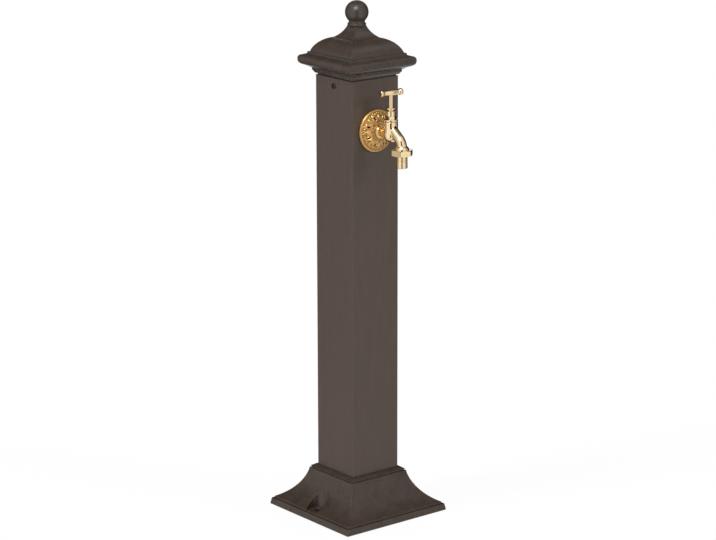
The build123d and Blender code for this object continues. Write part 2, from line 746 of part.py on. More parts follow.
handle_half = handle_length / 2
knob_start, knob_middle, knob_end = [handle_half * share for share in handle_knob_shares]
with BuildPart() as tee_handle:
    with BuildSketch(handle_plane):
        with BuildLine():
            Line((0, 0), (0, handle_middle))
            Spline(
                (0, handle_middle),
                (handle_half * handle_waist_share, handle_waist),
                (knob_start, (handle_waist + handle_knob) / 2),
                tangents=[(1, 0), (1, 1)],
            )
            ThreePointArc(
                (knob_start, (handle_waist + handle_knob) / 2),
                (knob_middle, handle_knob),
                (knob_end, (handle_end + handle_knob) / 2),
            )
            Polyline(
                (knob_end, (handle_end + handle_knob) / 2),
                (handle_half, handle_end),
                (handle_half, 0),
                (0, 0),
            )
        make_face()
    revolve(axis=Axis(handle_plane.origin, handle_plane.x_dir))
    mirror(about=Plane(handle_plane.origin, z_dir=handle_plane.x_dir))
    with BuildSketch(spindle_level(handle_z - handle_middle - cut)):
        Circle(spindle_radius)
    extrude(amount=spindle_shoulder_z - handle_z + handle_middle + cut, mode=Mode.SUBTRACT)
    with BuildSketch(spindle_level(spindle_shoulder_z)):
        Circle(spindle_tenon + thread_play)
    extrude(amount=tenon_top_z - spindle_shoulder_z, mode=Mode.SUBTRACT)
    with BuildSketch(handle_plane):
        Circle(handle_pin_radius + thread_play)
    extrude(amount=handle_middle + cut, both=True, mode=Mode.SUBTRACT)
keep(tee_handle.part, "tee_handle")

with BuildPart() as handle_pin:
    with BuildSketch(handle_plane):
        Circle(handle_pin_radius)
    extrude(amount=handle_middle, both=True)
keep(handle_pin.part, "handle_pin")

with BuildPart() as jumper:
    with BuildSketch(spindle_level(jumper_z)):
        Circle(jumper_radius)
    extrude(amount=jumper_thickness)
    with BuildSketch(spindle_level(jumper_z)):
        Circle(jumper_stem)
    extrude(amount=jumper_thickness + jumper_play + jumper_stem_length)
    with BuildSketch(spindle_level(jumper_z)):
        Circle(jumper_stud)
    extrude(amount=-jumper_washer_thickness - jumper_nut_height)
keep(jumper.part, "jumper")

with BuildPart() as jumper_washer:
    with BuildSketch(spindle_level(jumper_washer_z)):
        Circle(jumper_radius)
        Circle(jumper_stud + thread_play, mode=Mode.SUBTRACT)
    extrude(amount=jumper_washer_thickness)
keep(jumper_washer.part, "jumper_washer")

with BuildPart() as jumper_nut:
    with BuildSketch(spindle_level(jumper_washer_z)):
        RegularPolygon(jumper_nut_half, hexagon, major_radius=False)
        Circle(jumper_stud + thread_play, mode=Mode.SUBTRACT)
    extrude(amount=-jumper_nut_height)
keep(jumper_nut.part, "jumper_nut")

# Sizes of the union nut, the hose tail and its washer
union_half = 18.0          # half the width across the flats
union_turn = 41.0          # a corner's turn from +X when tight, in degrees
union_height = 10.8
union_lip = 2.0            # inner lip that draws the tail up
union_chamfer = 1.4        # turned off the corners at both ends
tail_flange = 12.6
tail_flange_thickness = 1.6
tail_radius = 10.2
tail_bore = 7.2
tail_length = 24.0         # below the nut
tail_lead = 0.8
tail_rib_count = 3
tail_rib_pitch = 4.4
tail_rib_step = 0.45
tail_rib_share = 0.8       # tapered part of each rib's pitch
hose_washer_thickness = 1.9
hose_washer_hole = 7.6
tail_flange_z = outlet_end_z - hose_washer_thickness - tail_flange_thickness
union_z = tail_flange_z - union_lip
tail_end_z = union_z - tail_length
union_corner = union_half / cos(radians(180 / hexagon))

with BuildPart() as union_turning:
    with BuildSketch(outlet_level(union_z)):
        Circle(union_corner)
    extrude(amount=union_height)
    chamfer(union_turning.edges().filter_by(GeomType.CIRCLE), union_chamfer)

with BuildPart() as union_nut:
    with BuildSketch(outlet_level(union_z)):
        RegularPolygon(union_half, hexagon, major_radius=False, rotation=union_turn)
    extrude(amount=union_height)
    add(union_turning.part, mode=Mode.INTERSECT)
    with BuildSketch(outlet_level(union_z - cut)):
        Circle(tail_radius + clear)
    extrude(amount=union_height, mode=Mode.SUBTRACT)
    with BuildSketch(outlet_level(tail_flange_z)):
        Circle(outlet_thread + running)
    extrude(amount=union_height, mode=Mode.SUBTRACT)
keep(union_nut.part, "union_nut")

with BuildPart() as hose_tail:
    with BuildSketch(Plane.YZ):
        with BuildLine():
            rib_points = [(tail_radius - tail_lead, tail_end_z), (tail_radius, tail_end_z + tail_lead)]
            for rib in range(tail_rib_count):
                rib_z = union_z - tail_rib_pitch * (tail_rib_count - rib)
                rib_points.append((tail_radius, rib_z))
                rib_points.append((tail_radius - tail_rib_step, rib_z))
                rib_points.append((tail_radius, rib_z + tail_rib_pitch * tail_rib_share))
            outline = [
                (tail_bore, tail_end_z),
                *rib_points,
                (tail_radius, tail_flange_z),
                (tail_flange, tail_flange_z),
                (tail_flange, tail_flange_z + tail_flange_thickness),
                (tail_bore, tail_flange_z + tail_flange_thickness),
            ]
            Polyline([(outlet_y + radius, z) for radius, z in outline], close=True)
        make_face()
    revolve(axis=outlet_axis)
keep(hose_tail.part, "hose_tail")

with BuildPart() as hose_tail_washer:
    with BuildSketch(outlet_level(outlet_end_z - hose_washer_thickness)):
        Circle(tail_flange)
        Circle(hose_washer_hole, mode=Mode.SUBTRACT)
    extrude(amount=hose_washer_thickness)
keep(hose_tail_washer.part, "hose_tail_washer")

# Sizes of the wall elbow behind the post's front wall
elbow_plate_width = 60.0
elbow_plate_height = 28.0
elbow_plate_corner = 6.0
elbow_barrel = 13.5
elbow_leg = 11.0
elbow_leg_length = 28.0    # down from the inlet axis to the fitting's thread
elbow_thread_depth = 16.0

# Sizes of the compression fittings at both ends of the riser
fitting_thread = 10.2
fitting_thread_length = 10.0
fitting_socket_depth = 8.0  # pipe end below the fitting's mouth
fitting_nut_half = 12.5
fitting_nut_height = 13.0
fitting_nut_skin = 3.0     # end wall of the nut round the pipe
olive_height = 5.0
olive_bulge = 1.6          # olive outside the pipe at its middle
connector_hexagon = 15.0
connector_hexagon_height = 7.0
connector_tail = 19.0      # supply thread below the foot plate's upper face
backnut_half = 14.0
backnut_height = 5.5
elbow_mouth_z = tap_height - elbow_leg_length - fitting_thread_length
connector_z = shelf_height + plate_thickness
connector_mouth_z = connector_z + connector_hexagon_height + fitting_thread_length
riser_low_z = connector_mouth_z - fitting_socket_depth
riser_high_z = elbow_mouth_z + fitting_socket_depth


def riser_level(z, way=1):
    """Level plane centred on the riser, facing up or, with way -1, down."""
    return Plane((0, riser_y, z), x_dir=(1, 0, 0), z_dir=(0, 0, way))


with BuildPart() as wall_elbow:
    with BuildSketch(inlet_section(-post_inner_half)):
        RectangleRounded(elbow_plate_width, elbow_plate_height, elbow_plate_corner)
    extrude(amount=-elbow_plate)
    with BuildSketch(inlet_section(-post_inner_half)):
        Circle(elbow_barrel)
    extrude(amount=-riser_setback)
    with Locations((0, riser_y, tap_height)):
        Sphere(elbow_barrel)
    with BuildSketch(riser_level(tap_height, -1)):
        Circle(elbow_leg)
    extrude(amount=elbow_leg_length)
    with BuildSketch(riser_level(tap_height, -1)):
        Circle(fitting_thread)
    extrude(amount=elbow_leg_length + fitting_thread_length)
    with BuildSketch(inlet_section(-post_inner_half + elbow_thread_depth)):
        Circle(half_inch_thread + thread_play)
    extrude(amount=elbow_thread_depth + cut, mode=Mode.SUBTRACT)
    with BuildSketch(inlet_section(riser_y)):
        Circle(riser_bore)
    extrude(amount=riser_setback, mode=Mode.SUBTRACT)
    with BuildSketch(riser_level(tap_height, -1)):
        Circle(riser_bore)
    extrude(amount=elbow_leg_length + fitting_thread_length + cut, mode=Mode.SUBTRACT)
    with BuildSketch(riser_level(elbow_mouth_z - cut)):
        Circle(riser_radius + running)
    extrude(amount=fitting_socket_depth + cut, mode=Mode.SUBTRACT)
    with BuildSketch(inlet_section(-post_inner_half)):
        with GridLocations(elbow_screw_spacing, 0, 2, 1):
            Circle(elbow_screw_radius + thread_play)
    extrude(amount=-elbow_plate, mode=Mode.SUBTRACT)
keep(wall_elbow.part, "wall_elbow")

with BuildPart() as elbow_screws:
    with BuildSketch(inlet_section(-post_half)):
        with GridLocations(elbow_screw_spacing, 0, 2, 1):
            Circle(elbow_screw_head - clear)
    extrude(amount=-elbow_screw_head + elbow_screw_radius, taper=elbow_screw_taper)
    with BuildSketch(inlet_section(-post_half)):
        with GridLocations(elbow_screw_spacing, 0, 2, 1):
            Circle(elbow_screw_radius)
    extrude(amount=-elbow_screw_length)
keep(elbow_screws.part, "elbow_screws")

with BuildPart() as riser_pipe:
    with BuildSketch(riser_level(riser_low_z)):
        Circle(riser_radius)
        Circle(riser_bore, mode=Mode.SUBTRACT)
    extrude(amount=riser_high_z - riser_low_z)
keep(riser_pipe.part, "riser_pipe")

with BuildPart() as inlet_connector:
    with BuildSketch(riser_level(connector_z)):
        RegularPolygon(connector_hexagon, hexagon, major_radius=False)
    extrude(amount=connector_hexagon_height)
    with BuildSketch(riser_level(connector_z)):
        Circle(fitting_thread)
    extrude(amount=connector_mouth_z - connector_z)
    with BuildSketch(riser_level(connector_z, -1)):
        Circle(supply_shank)
    extrude(amount=plate_thickness + backnut_height)
    with BuildSketch(riser_level(connector_z, -1)):
        Circle(half_inch_thread)
    extrude(amount=connector_tail)
    with BuildSketch(riser_level(connector_z - connector_tail - cut)):
        Circle(riser_bore)
    extrude(amount=connector_tail + connector_mouth_z - connector_z + 2 * cut, mode=Mode.SUBTRACT)
    with BuildSketch(riser_level(riser_low_z)):
        Circle(riser_radius + running)
    extrude(amount=fitting_socket_depth + cut, mode=Mode.SUBTRACT)
keep(inlet_connector.part, "inlet_connector")

with BuildPart() as inlet_backnut:
    with BuildSketch(riser_level(shelf_height, -1)):
        RegularPolygon(backnut_half, hexagon, major_radius=False)
        Circle(supply_shank + thread_play, mode=Mode.SUBTRACT)
    extrude(amount=backnut_height)
keep(inlet_backnut.part, "inlet_backnut")

fitting_ends = [(connector_mouth_z, 1), (elbow_mouth_z, -1)]
with BuildPart() as riser_nuts:
    for mouth_z, way in fitting_ends:
        nut_z = mouth_z + way * (olive_height + fitting_nut_skin)
        with BuildSketch(riser_level(nut_z, -way)):
            RegularPolygon(fitting_nut_half, hexagon, major_radius=False)
            Circle(riser_radius + clear, mode=Mode.SUBTRACT)
        extrude(amount=fitting_nut_height)
        with BuildSketch(riser_level(nut_z - way * fitting_nut_skin, -way)):
            Circle(fitting_thread + thread_play)
        extrude(amount=fitting_nut_height, mode=Mode.SUBTRACT)
keep(riser_nuts.part, "riser_nuts")

with BuildPart() as riser_olives:
    for mouth_z, way in fitting_ends:
        olive_middle = mouth_z + way * olive_height / 2
        with BuildSketch(Plane.YZ):
            with BuildLine():
                Line(
                    (riser_y + riser_radius + running, olive_middle - olive_height / 2),
                    (riser_y + riser_radius + running, olive_middle + olive_height / 2),
                )
                ThreePointArc(
                    (riser_y + riser_radius + running, olive_middle + olive_height / 2),
                    (riser_y + riser_radius + olive_bulge, olive_middle),
                    (riser_y + riser_radius + running, olive_middle - olive_height / 2),
                )
            make_face()
        revolve(axis=Axis((0, riser_y, 0), (0, 0, 1)))
keep(riser_olives.part, "riser_olives")
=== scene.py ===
# %% [markdown]
# A garden standpipe: a square steel post in a scooped cast foot, with a moulded cast cap and
# a ball, and a brass bib tap on a pierced rosette. Lengths on the part are written in
# millimetres and turned to metres by one factor, and those of the set are in metres. The
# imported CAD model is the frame: each piece is made where the CAD piece already is, and rides
# on the same body.

import json
import math

import bmesh
import bpy
from mathutils import Matrix, Vector


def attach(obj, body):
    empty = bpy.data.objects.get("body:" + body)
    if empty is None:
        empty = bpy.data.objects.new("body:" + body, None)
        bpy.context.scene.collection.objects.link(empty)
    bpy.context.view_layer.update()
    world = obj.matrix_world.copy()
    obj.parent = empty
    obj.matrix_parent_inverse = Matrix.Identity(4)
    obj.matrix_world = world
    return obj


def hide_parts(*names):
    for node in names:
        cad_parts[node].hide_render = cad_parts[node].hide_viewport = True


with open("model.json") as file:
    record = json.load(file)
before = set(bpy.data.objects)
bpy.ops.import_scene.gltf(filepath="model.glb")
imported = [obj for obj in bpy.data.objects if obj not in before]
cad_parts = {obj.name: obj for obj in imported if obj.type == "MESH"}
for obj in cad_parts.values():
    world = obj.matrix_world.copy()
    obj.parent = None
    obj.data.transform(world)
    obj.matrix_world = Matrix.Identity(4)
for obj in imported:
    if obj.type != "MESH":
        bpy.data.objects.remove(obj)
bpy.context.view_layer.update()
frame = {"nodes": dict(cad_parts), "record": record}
mm = 0.001
scene = bpy.context.scene
def to_object(name, data):
    """A new object in the scene for a mesh, a lamp or a camera."""
    thing = bpy.data.objects.new(name, data)
    scene.collection.objects.link(thing)
    return thing


# %% [markdown]
# The camera repeats the one that took the photograph. Its place came from fitting the
# straight edges of the post, the foot and the cap: a long lens a little over five metres
# away, looking down by not quite fifteen degrees and turned towards the left face.

# %% Camera
turn_left = math.radians(38.59)
look_down = math.radians(14.799)
camera_roll = math.radians(-0.122)
camera_distance = 5.18798
aim_side = 0.00124
aim_height = 0.47423

back = Vector(
    (
        -math.sin(turn_left) * math.cos(look_down),
        -math.cos(turn_left) * math.cos(look_down),
        math.sin(look_down),
    )
)
level_right = Vector((math.cos(turn_left), -math.sin(turn_left), 0))
level_up = back.cross(level_right)
right = level_right * math.cos(camera_roll) + level_up * math.sin(camera_roll)
up = level_up * math.cos(camera_roll) - level_right * math.sin(camera_roll)
place = back * camera_distance + level_right * aim_side + Vector((0, 0, aim_height))

camera_data = bpy.data.cameras.new("photo_camera")
camera_data.sensor_width = 36.0
camera_data.lens = 137.65
camera = to_object("photo_camera", camera_data)
camera.matrix_world = Matrix(
    (
        (right.x, up.x, back.x, place.x),
        (right.y, up.y, back.y, place.y),
        (right.z, up.z, back.z, place.z),
        (0, 0, 0, 1),
    )
)
scene.camera = camera
scene.view_settings.view_transform = "Standard"
print("camera at", [round(value, 3) for value in place])

# %% [markdown]
# A material is a small graph of nodes. One helper adds a node, sets it up and links it, so
# that every graph below reads as a list of steps. Colours are written as the sRGB values a
# screen shows, and one function turns them into the linear values that a shader needs.


# %% Helpers for colours and nodes
def linear(hex_colour):
    """Linear colour of an sRGB value such as 'C9A24B'."""
    parts = [int(hex_colour[start : start + 2], 16) / 255 for start in (0, 2, 4)]
    straight = [p / 12.92 if p <= 0.04045 else ((p + 0.055) / 1.055) ** 2.4 for p in parts]
    return (*straight, 1.0)


def set_sockets(tree, node, inputs):
    """Give a node's sockets their values, or link them to other nodes' outputs."""
    for socket, value in inputs.items():
        if isinstance(value, bpy.types.NodeSocket):
            tree.links.new(value, node.inputs[socket])
        else:
            node.inputs[socket].default_value = value


def add_node(tree, kind, inputs=None, **settings):
    """Add one node with its settings; inputs maps a socket to a value or to another output."""
    new = tree.nodes.new(kind)
    for name, value in settings.items():
        setattr(new, name, value)
    set_sockets(tree, new, inputs or {})
    return new


def empty_material(name):
    """A material whose graph is still empty, and that graph."""
    material = bpy.data.materials.new(name)
    material.use_nodes = True
    material.node_tree.nodes.clear()
    return material, material.node_tree


def new_material(name):
    """A material with its output, its shader and its object coordinates."""
    material, tree = empty_material(name)
    shader = add_node(tree, "ShaderNodeBsdfPrincipled")
    add_node(tree, "ShaderNodeOutputMaterial", {"Surface": shader.outputs["BSDF"]})
    place = add_node(tree, "ShaderNodeTexCoord").outputs["Object"]
    return material, tree, shader, place


def per_size(size):
    """Scale of a texture whose features are this many millimetres across."""
    return 1.0 / (size * mm)


def noise(tree, place, size, detail):
    """A cloudy noise whose features are this many millimetres across."""
    inputs = {"Vector": place, "Scale": per_size(size), "Detail": detail}
    return add_node(tree, "ShaderNodeTexNoise", inputs).outputs["Fac"]


def ranged(tree, value, low, high, to_low=0.0, to_high=1.0):
    """A value carried over from one range to another and held within it."""
    inputs = {"Value": value, "From Min": low, "From Max": high}
    inputs.update({"To Min": to_low, "To Max": to_high})
    return add_node(tree, "ShaderNodeMapRange", inputs).outputs[0]


def mixed_colour(tree, share, first, second, **settings):
    """Two colours mixed by the second one's share."""
    inputs = {0: share, 6: first, 7: second}
    return add_node(tree, "ShaderNodeMix", inputs, data_type="RGBA", **settings).outputs[2]


def bumpy(tree, height, strength, depth, under=None):
    """A skin with bumps this many millimetres deep, over another skin if one is given."""
    inputs = {"Height": height, "Strength": strength, "Distance": depth * mm}
    if under is not None:
        inputs["Normal"] = under
    return add_node(tree, "ShaderNodeBump", inputs).outputs[0]


def split(tree, vector):
    """The three parts of a vector."""
    return add_node(tree, "ShaderNodeSeparateXYZ", {0: vector}).outputs


def mix_shader(tree, share, first, second):
    """Two shaders mixed by the second one's share."""
    inputs = {0: share, 1: first.outputs[0], 2: second.outputs[0]}
    return add_node(tree, "ShaderNodeMixShader", inputs)


# %% [markdown]
# The set is a white photo table. The floor is a pale sheet whose camera view is lifted
# towards white, so that the object's soft shadow stays. Reflections don't show it. The world
# is white wherever the camera sees it, and white in a reflection too, apart from the dark
# ceiling overhead.

# %% Floor
floor_half = 40.0
paper_lift = 0.94
pure_white = (1, 1, 1, 1)

floor_mesh = bpy.data.meshes.new("photo_table")
floor_mesh.from_pydata(
    [(-floor_half, -floor_half, 0), (floor_half, -floor_half, 0)]
    + [(floor_half, floor_half, 0), (-floor_half, floor_half, 0)],
    [],
    [(0, 1, 2, 3)],
)
floor = to_object("photo_table", floor_mesh)
paper, tree = empty_material("white_paper_sheet")
rays = add_node(tree, "ShaderNodeLightPath")
sheet = add_node(tree, "ShaderNodeBsdfDiffuse", {"Color": linear("FAFAFA")})
lift = add_node(tree, "ShaderNodeEmission", {"Color": pure_white, "Strength": 1.0})
seen = add_node(
    tree,
    "ShaderNodeMath",
    {0: rays.outputs["Is Camera Ray"], 1: paper_lift},
    operation="MULTIPLY",
)
mixed = mix_shader(tree, seen.outputs[0], sheet, lift)
add_node(tree, "ShaderNodeOutputMaterial", {"Surface": mixed.outputs[0]})
floor_mesh.materials.append(paper)
floor.visible_glossy = False
print("floor half width", floor_half, "m")

# %% World
ceiling_dark = 0.07

world = bpy.data.worlds.new("white_studio")
scene.world = world
world.use_nodes = True
tree = world.node_tree
tree.nodes.clear()
rays = add_node(tree, "ShaderNodeLightPath")
heading = add_node(tree, "ShaderNodeTexCoord").outputs["Generated"]
ceiling_light = ranged(tree, split(tree, heading)["Z"], 0.15, 0.9, 0.60, 0.62)
ceiling_way = Vector((math.sin(turn_left) * 0.5, math.cos(turn_left) * 0.5, 0.866))
towards_ceiling = add_node(
    tree, "ShaderNodeVectorMath", {0: heading, 1: ceiling_way}, operation="DOT_PRODUCT"
)
ceiling_gloss = ranged(
    tree, towards_ceiling.outputs["Value"], 0.74, 0.90, to_low=1.0, to_high=ceiling_dark
)
lit, white, mirrored = (
    add_node(tree, "ShaderNodeBackground", {"Color": pure_white, "Strength": strength})
    for strength in (ceiling_light, 1.0, ceiling_gloss)
)
shiny = add_node(
    tree,
    "ShaderNodeMath",
    {0: rays.outputs["Is Glossy Ray"], 1: rays.outputs["Is Transmission Ray"]},
    operation="MAXIMUM",
)
by_camera = mix_shader(tree, rays.outputs["Is Camera Ray"], lit, white)
by_gloss = mix_shader(tree, shiny.outputs[0], by_camera, mirrored)
add_node(tree, "ShaderNodeOutputWorld", {"Surface": by_gloss.outputs[0]})
print("world nodes", len(tree.nodes))

# %% [markdown]
# Two wide suns stand for the soft lamps left and right of the camera, and light the two
# seen faces of the post about equally. A soft box above adds only sheen. Curved cards stand
# round the part, from below the floor upwards, and are seen only in its reflections: white
# ones beside the lens, grey ones further round and black flags at the back. The dark slit in
# front of the lens draws the thin dark line down the middle of every round brass part.


# %% Lamps
def shine_from(lamp, way):
    """Turn a lamp so that its light comes from this direction."""
    lamp.rotation_mode = "QUATERNION"
    lamp.rotation_quaternion = way.to_track_quat("Z", "Y")


def soft_lamp(name, azimuth, elevation, strength, spread):
    """A wide sun; azimuth 0 shines from -Y and -90 from -X. Reflections don't show it."""
    data = bpy.data.lights.new(name, "SUN")
    data.energy = strength
    data.angle = math.radians(spread)
    lamp = to_object(name, data)
    lamp.visible_glossy = False
    a, e = math.radians(azimuth), math.radians(elevation)
    way = Vector((math.sin(a) * math.cos(e), -math.cos(a) * math.cos(e), math.sin(e)))
    shine_from(lamp, way)


soft_lamp("left_softbox", -102, 40, 1.5, 16)
soft_lamp("right_softbox", 28, 22, 1.02, 16)

key_size = 0.95
key_power = 30.0
key_distance = 2.2
key_aim = Vector((0, 0, 0.72))
key_turn = turn_left + math.radians(14)
key_way = Vector((-math.sin(key_turn) * 0.62, -math.cos(key_turn) * 0.62, 0.785))
key_data = bpy.data.lights.new("overhead_softbox", "AREA")
key_data.shape = "SQUARE"
key_data.size = key_size
key_data.energy = key_power
key = to_object("overhead_softbox", key_data)
key.visible_diffuse = False
key.location = key_way * key_distance + key_aim
shine_from(key, key_way)

card_distance = 1.7
card_height = 2.4
card_foot = -0.7


def card(name, start, end, radiance):
    """A curved card round the part, between two turns away from the camera in degrees."""
    steps = round(abs(end - start) / 4)
    corners = []
    for step in range(steps + 1):
        turn = turn_left + math.radians(start + (end - start) * step / steps)
        x, y = -math.sin(turn) * card_distance, -math.cos(turn) * card_distance
        corners += [(x, y, card_foot), (x, y, card_height)]
    faces = [(2 * step, 2 * step + 2, 2 * step + 3, 2 * step + 1) for step in range(steps)]
    mesh = bpy.data.meshes.new(name)
    mesh.from_pydata(corners, [], faces)
    finish, tree = empty_material(name)
    glow = add_node(tree, "ShaderNodeEmission", {"Color": pure_white, "Strength": radiance})
    add_node(tree, "ShaderNodeOutputMaterial", {"Surface": glow.outputs[0]})
    mesh.materials.append(finish)
    piece = to_object(name, mesh)
    piece.visible_camera = False
    piece.visible_diffuse = False
    piece.visible_shadow = False


card("lens_slit", -12, 12, 0.02)
card("white_card_left", 12, 66, 1.22)
card("white_card_right", -12, -66, 1.12)
card("grey_card_left", 66, 108, 0.62)
card("grey_card_right", -66, -104, 0.5)
card("black_flag_left", 108, 166, 0.03)
card("black_flag_right", -104, -166, 0.03)
print("lamps: 2 wide suns, 1 softbox; cards: 7")

# %% [markdown]
# The post, the foot and the cap are powder coated: a resin dust is baked on to the metal,
# which leaves a satin skin with a fine orange peel. On the real one the brown is a little
# uneven and looks rubbed, with a warmer brown in the mouldings. Two noises at the real
# sizes mix two browns, and a fine noise gives the peel its bump.


# %% Powder coat
def powder_coat(name, hex_main, hex_warm, roughness, peel, cloud, streak):
    """Baked resin powder on metal: satin, finely pebbled, slightly uneven in tone."""
    material, tree, shader, place = new_material(name)
    stretch = {"Vector": place, "Scale": (1.0, 1.0, 1.0 / streak)}
    stretched = add_node(tree, "ShaderNodeMapping", stretch).outputs[0]
    clouds = noise(tree, stretched, cloud, 3.0)
    share = ranged(tree, clouds, 0.35, 0.70)
    browns = mixed_colour(tree, share, linear(hex_main), linear(hex_warm))
    speckle = ranged(tree, noise(tree, place, 2.2, 2.0), 0.3, 0.7, 0.86, 1.10)
    speckled = mixed_colour(tree, 1.0, browns, speckle, blend_type="MULTIPLY")
    dull = ranged(tree, clouds, 0.0, 1.0, roughness - 0.06, roughness + 0.06)
    skin = bumpy(tree, noise(tree, place, peel, 1.0), 0.35, 0.12)
    coat = {"Base Color": speckled, "Roughness": dull, "Normal": skin, "IOR": 1.45}
    set_sockets(tree, shader, coat)
    return material


# Sand-cast metal under powder: coarser peel and warmer patches, as the mouldings show.
coated_casting = powder_coat("powder_coated_casting", "3B322C", "46392F", 0.28, 1.4, 22, 1.0)
# Drawn steel tube under powder: finer peel, faint upright streaks from the drawing.
coated_post = powder_coat("powder_coated_tube", "483C34", "4D3F36", 0.42, 0.9, 9, 9.0)
# The same powder on a small screw, painted nearly black: painted shade for its recess.
dark_screw = powder_coat("powder_coated_screw_painted_shade", "120F0E", "171311", 0.42, 0.6, 6, 1.0)
print("powder coats: 3")

# %% [markdown]
# The tap is cast brass, polished to a mirror and lacquered. Polished brass has next to no
# colour of its own but tints what it mirrors, so its look is the tint, a low roughness, and
# the slight waviness that the polishing mop leaves. The turned parts keep fine rings from
# the lathe, drawn here a little coarser than they are so that they show.


# %% Brass
def brass(name, hex_bright, hex_deep, rough_low, rough_high, wave, wave_depth, rings=0.0):
    """Copper and zinc alloy; wave is the size of the polishing waviness in millimetres."""
    material, tree, shader, place = new_material(name)
    haze = noise(tree, place, 7.0, 4.0)
    tint = mixed_colour(tree, haze, linear(hex_bright), linear(hex_deep))
    dull = ranged(tree, haze, 0.3, 0.7, rough_low, rough_high)
    skin = bumpy(tree, noise(tree, place, wave, 2.0), 0.5, wave_depth)
    if rings:
        turned = add_node(
            tree,
            "ShaderNodeTexWave",
            {"Vector": place, "Scale": per_size(rings) / 20, "Distortion": 0.4, "Detail": 1.0},
            wave_type="BANDS",
            bands_direction="Z",
        )
        skin = bumpy(tree, turned.outputs["Fac"], 0.25, 0.02, skin)
    metal = {"Metallic": 1.0, "Base Color": tint, "Roughness": dull, "Normal": skin}
    set_sockets(tree, shader, metal)
    return material, tree, shader, tint


# Mirror polish: bright pale gold, sharp dark reflections, barely wavy.
polished_brass = brass("polished_brass", "E6D1AC", "E6C896", 0.06, 0.13, 6.0, 0.10)[0]
# Lathe finish on the nut and the tail: paler and softer, with fine rings.
satin_brass = brass("satin_turned_brass", "EFD9B0", "DFC18E", 0.16, 0.26, 1.6, 0.04, 0.7)[0]
# Unpolished fittings inside the post: duller and a little brown.
plain_brass = brass("machined_brass", "D2AF68", "B98F4B", 0.30, 0.42, 1.5, 0.05, 0.9)[0]
print("brasses: 3 plain, the rosette's follows")

# %% [markdown]
# The rosette is thin cast brass with its ornament left less polished than the tap, so its
# hollows are duller. Their darker brown is painted shade, for the shade that falls into
# them, while the ridges are bright. The mesh carries that as an attribute named relief,
# from 0 in the hollows to 1 on the ridges, and the colour and the roughness follow it.

# %% Rosette brass
rosette_brass, tree, shader, tint = brass(
    "cast_rosette_brass", "D6B078", "C99C5C", 0.20, 0.30, 2.2, 0.08
)
relief = add_node(tree, "ShaderNodeAttribute", attribute_name="relief").outputs["Fac"]
# Painted shade: the hollows are darkened towards a deep brown by the relief attribute.
hollow_shade_toned = mixed_colour(tree, ranged(tree, relief, 0.02, 0.34), linear("9A7038"), tint)
matt = ranged(tree, relief, 0.1, 0.7, 0.5, 0.27)
set_sockets(tree, shader, {"Base Color": hollow_shade_toned, "Roughness": matt})
print("rosette brass nodes", len(tree.nodes))

# %% [markdown]
# The inside fittings are seen only from below. Zinc plate is a thin bright grey coat with a
# cloudy sheen, the riser is drawn copper tube, and the washers are rubber and tan fibre.


# %% Other metals and the washers
def plated(name, hex_light, hex_dark, low, high, size):
    """Thin plating or drawn metal: bright, with cloudy patches of this size."""
    material, tree, shader, place = new_material(name)
    clouds = noise(tree, place, size, 4.0)
    tint = mixed_colour(tree, clouds, linear(hex_light), linear(hex_dark))
    dull = ranged(tree, clouds, 0.0, 1.0, low, high)
    set_sockets(tree, shader, {"Metallic": 1.0, "Base Color": tint, "Roughness": dull})
    return material


def washer_stuff(name, hex_main, hex_fleck, grain, roughness):
    """Pressed sheet: dull, with flecks of this size and a grainy skin."""
    material, tree, shader, place = new_material(name)
    flecks = noise(tree, place, grain, 3.0)
    tint = mixed_colour(tree, flecks, linear(hex_main), linear(hex_fleck))
    skin = bumpy(tree, flecks, 0.4, 0.05)
    set_sockets(tree, shader, {"Base Color": tint, "Normal": skin, "Roughness": roughness})
    return material


zinc_steel = plated("zinc_plated_steel", "C9CBCC", "A9ACAF", 0.25, 0.42, 3.0)
copper_pipe = plated("drawn_copper", "C98B66", "A9653F", 0.22, 0.38, 9.0)
fibre_washer = washer_stuff("tan_vulcanised_fibre", "A88C5C", "927447", 0.8, 0.6)
black_rubber = washer_stuff("black_nitrile_rubber", "1C1C1D", "262627", 0.6, 0.55)

finishes = {
    "coated_casting": coated_casting,
    "coated_post": coated_post,
    "dark_screw": dark_screw,
    "zinc_steel": zinc_steel,
    "rosette_brass": rosette_brass,
    "polished_brass": polished_brass,
    "satin_brass": satin_brass,
    "plain_brass": plain_brass,
    "copper_pipe": copper_pipe,
    "fibre_washer": fibre_washer,
    "black_rubber": black_rubber,
}
slot_of = {}
for entry in frame["record"]["subparts"]:
    slot_of[entry["node"]] = entry["material_slot"]
    materials = frame["nodes"][entry["node"]].data.materials
    materials.clear()
    materials.append(finishes[entry["material_slot"]])
print("finishes:", len(finishes))

# %% [markdown]
# Some CAD shapes are right but their edges are mathematically sharp, and a sharp edge never
# catches the light. Such a piece is copied, its loose triangles are merged into real faces,
# and a narrow bevel is put on every edge that turns by more than a set angle. Others are
# made new. Both kinds end in the same small helper, which gives the piece its finish, lets
# it ride on its body and hides the CAD piece it stands for.


# %% Helpers for meshes
def shape_object(name, shape):
    """An object made of a bmesh, which is freed."""
    mesh = bpy.data.meshes.new(name)
    shape.to_mesh(mesh)
    shape.free()
    return to_object(name, mesh)


def merge_doubles(shape):
    """Join the corners that lie at the same place."""
    bmesh.ops.remove_doubles(shape, verts=shape.verts, dist=0.002 * mm)


def stand_in(piece, node, body, sharp=35.0):
    """Finish a piece that takes the place of a CAD node on its body."""
    piece.data.materials.clear()
    piece.data.materials.append(finishes[slot_of[node]])
    piece.data.shade_smooth()
    piece.data.set_sharp_from_angle(angle=math.radians(sharp))
    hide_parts(node)
    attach(piece, body)
    print(piece.name, "for", node, len(piece.data.polygons), "faces")


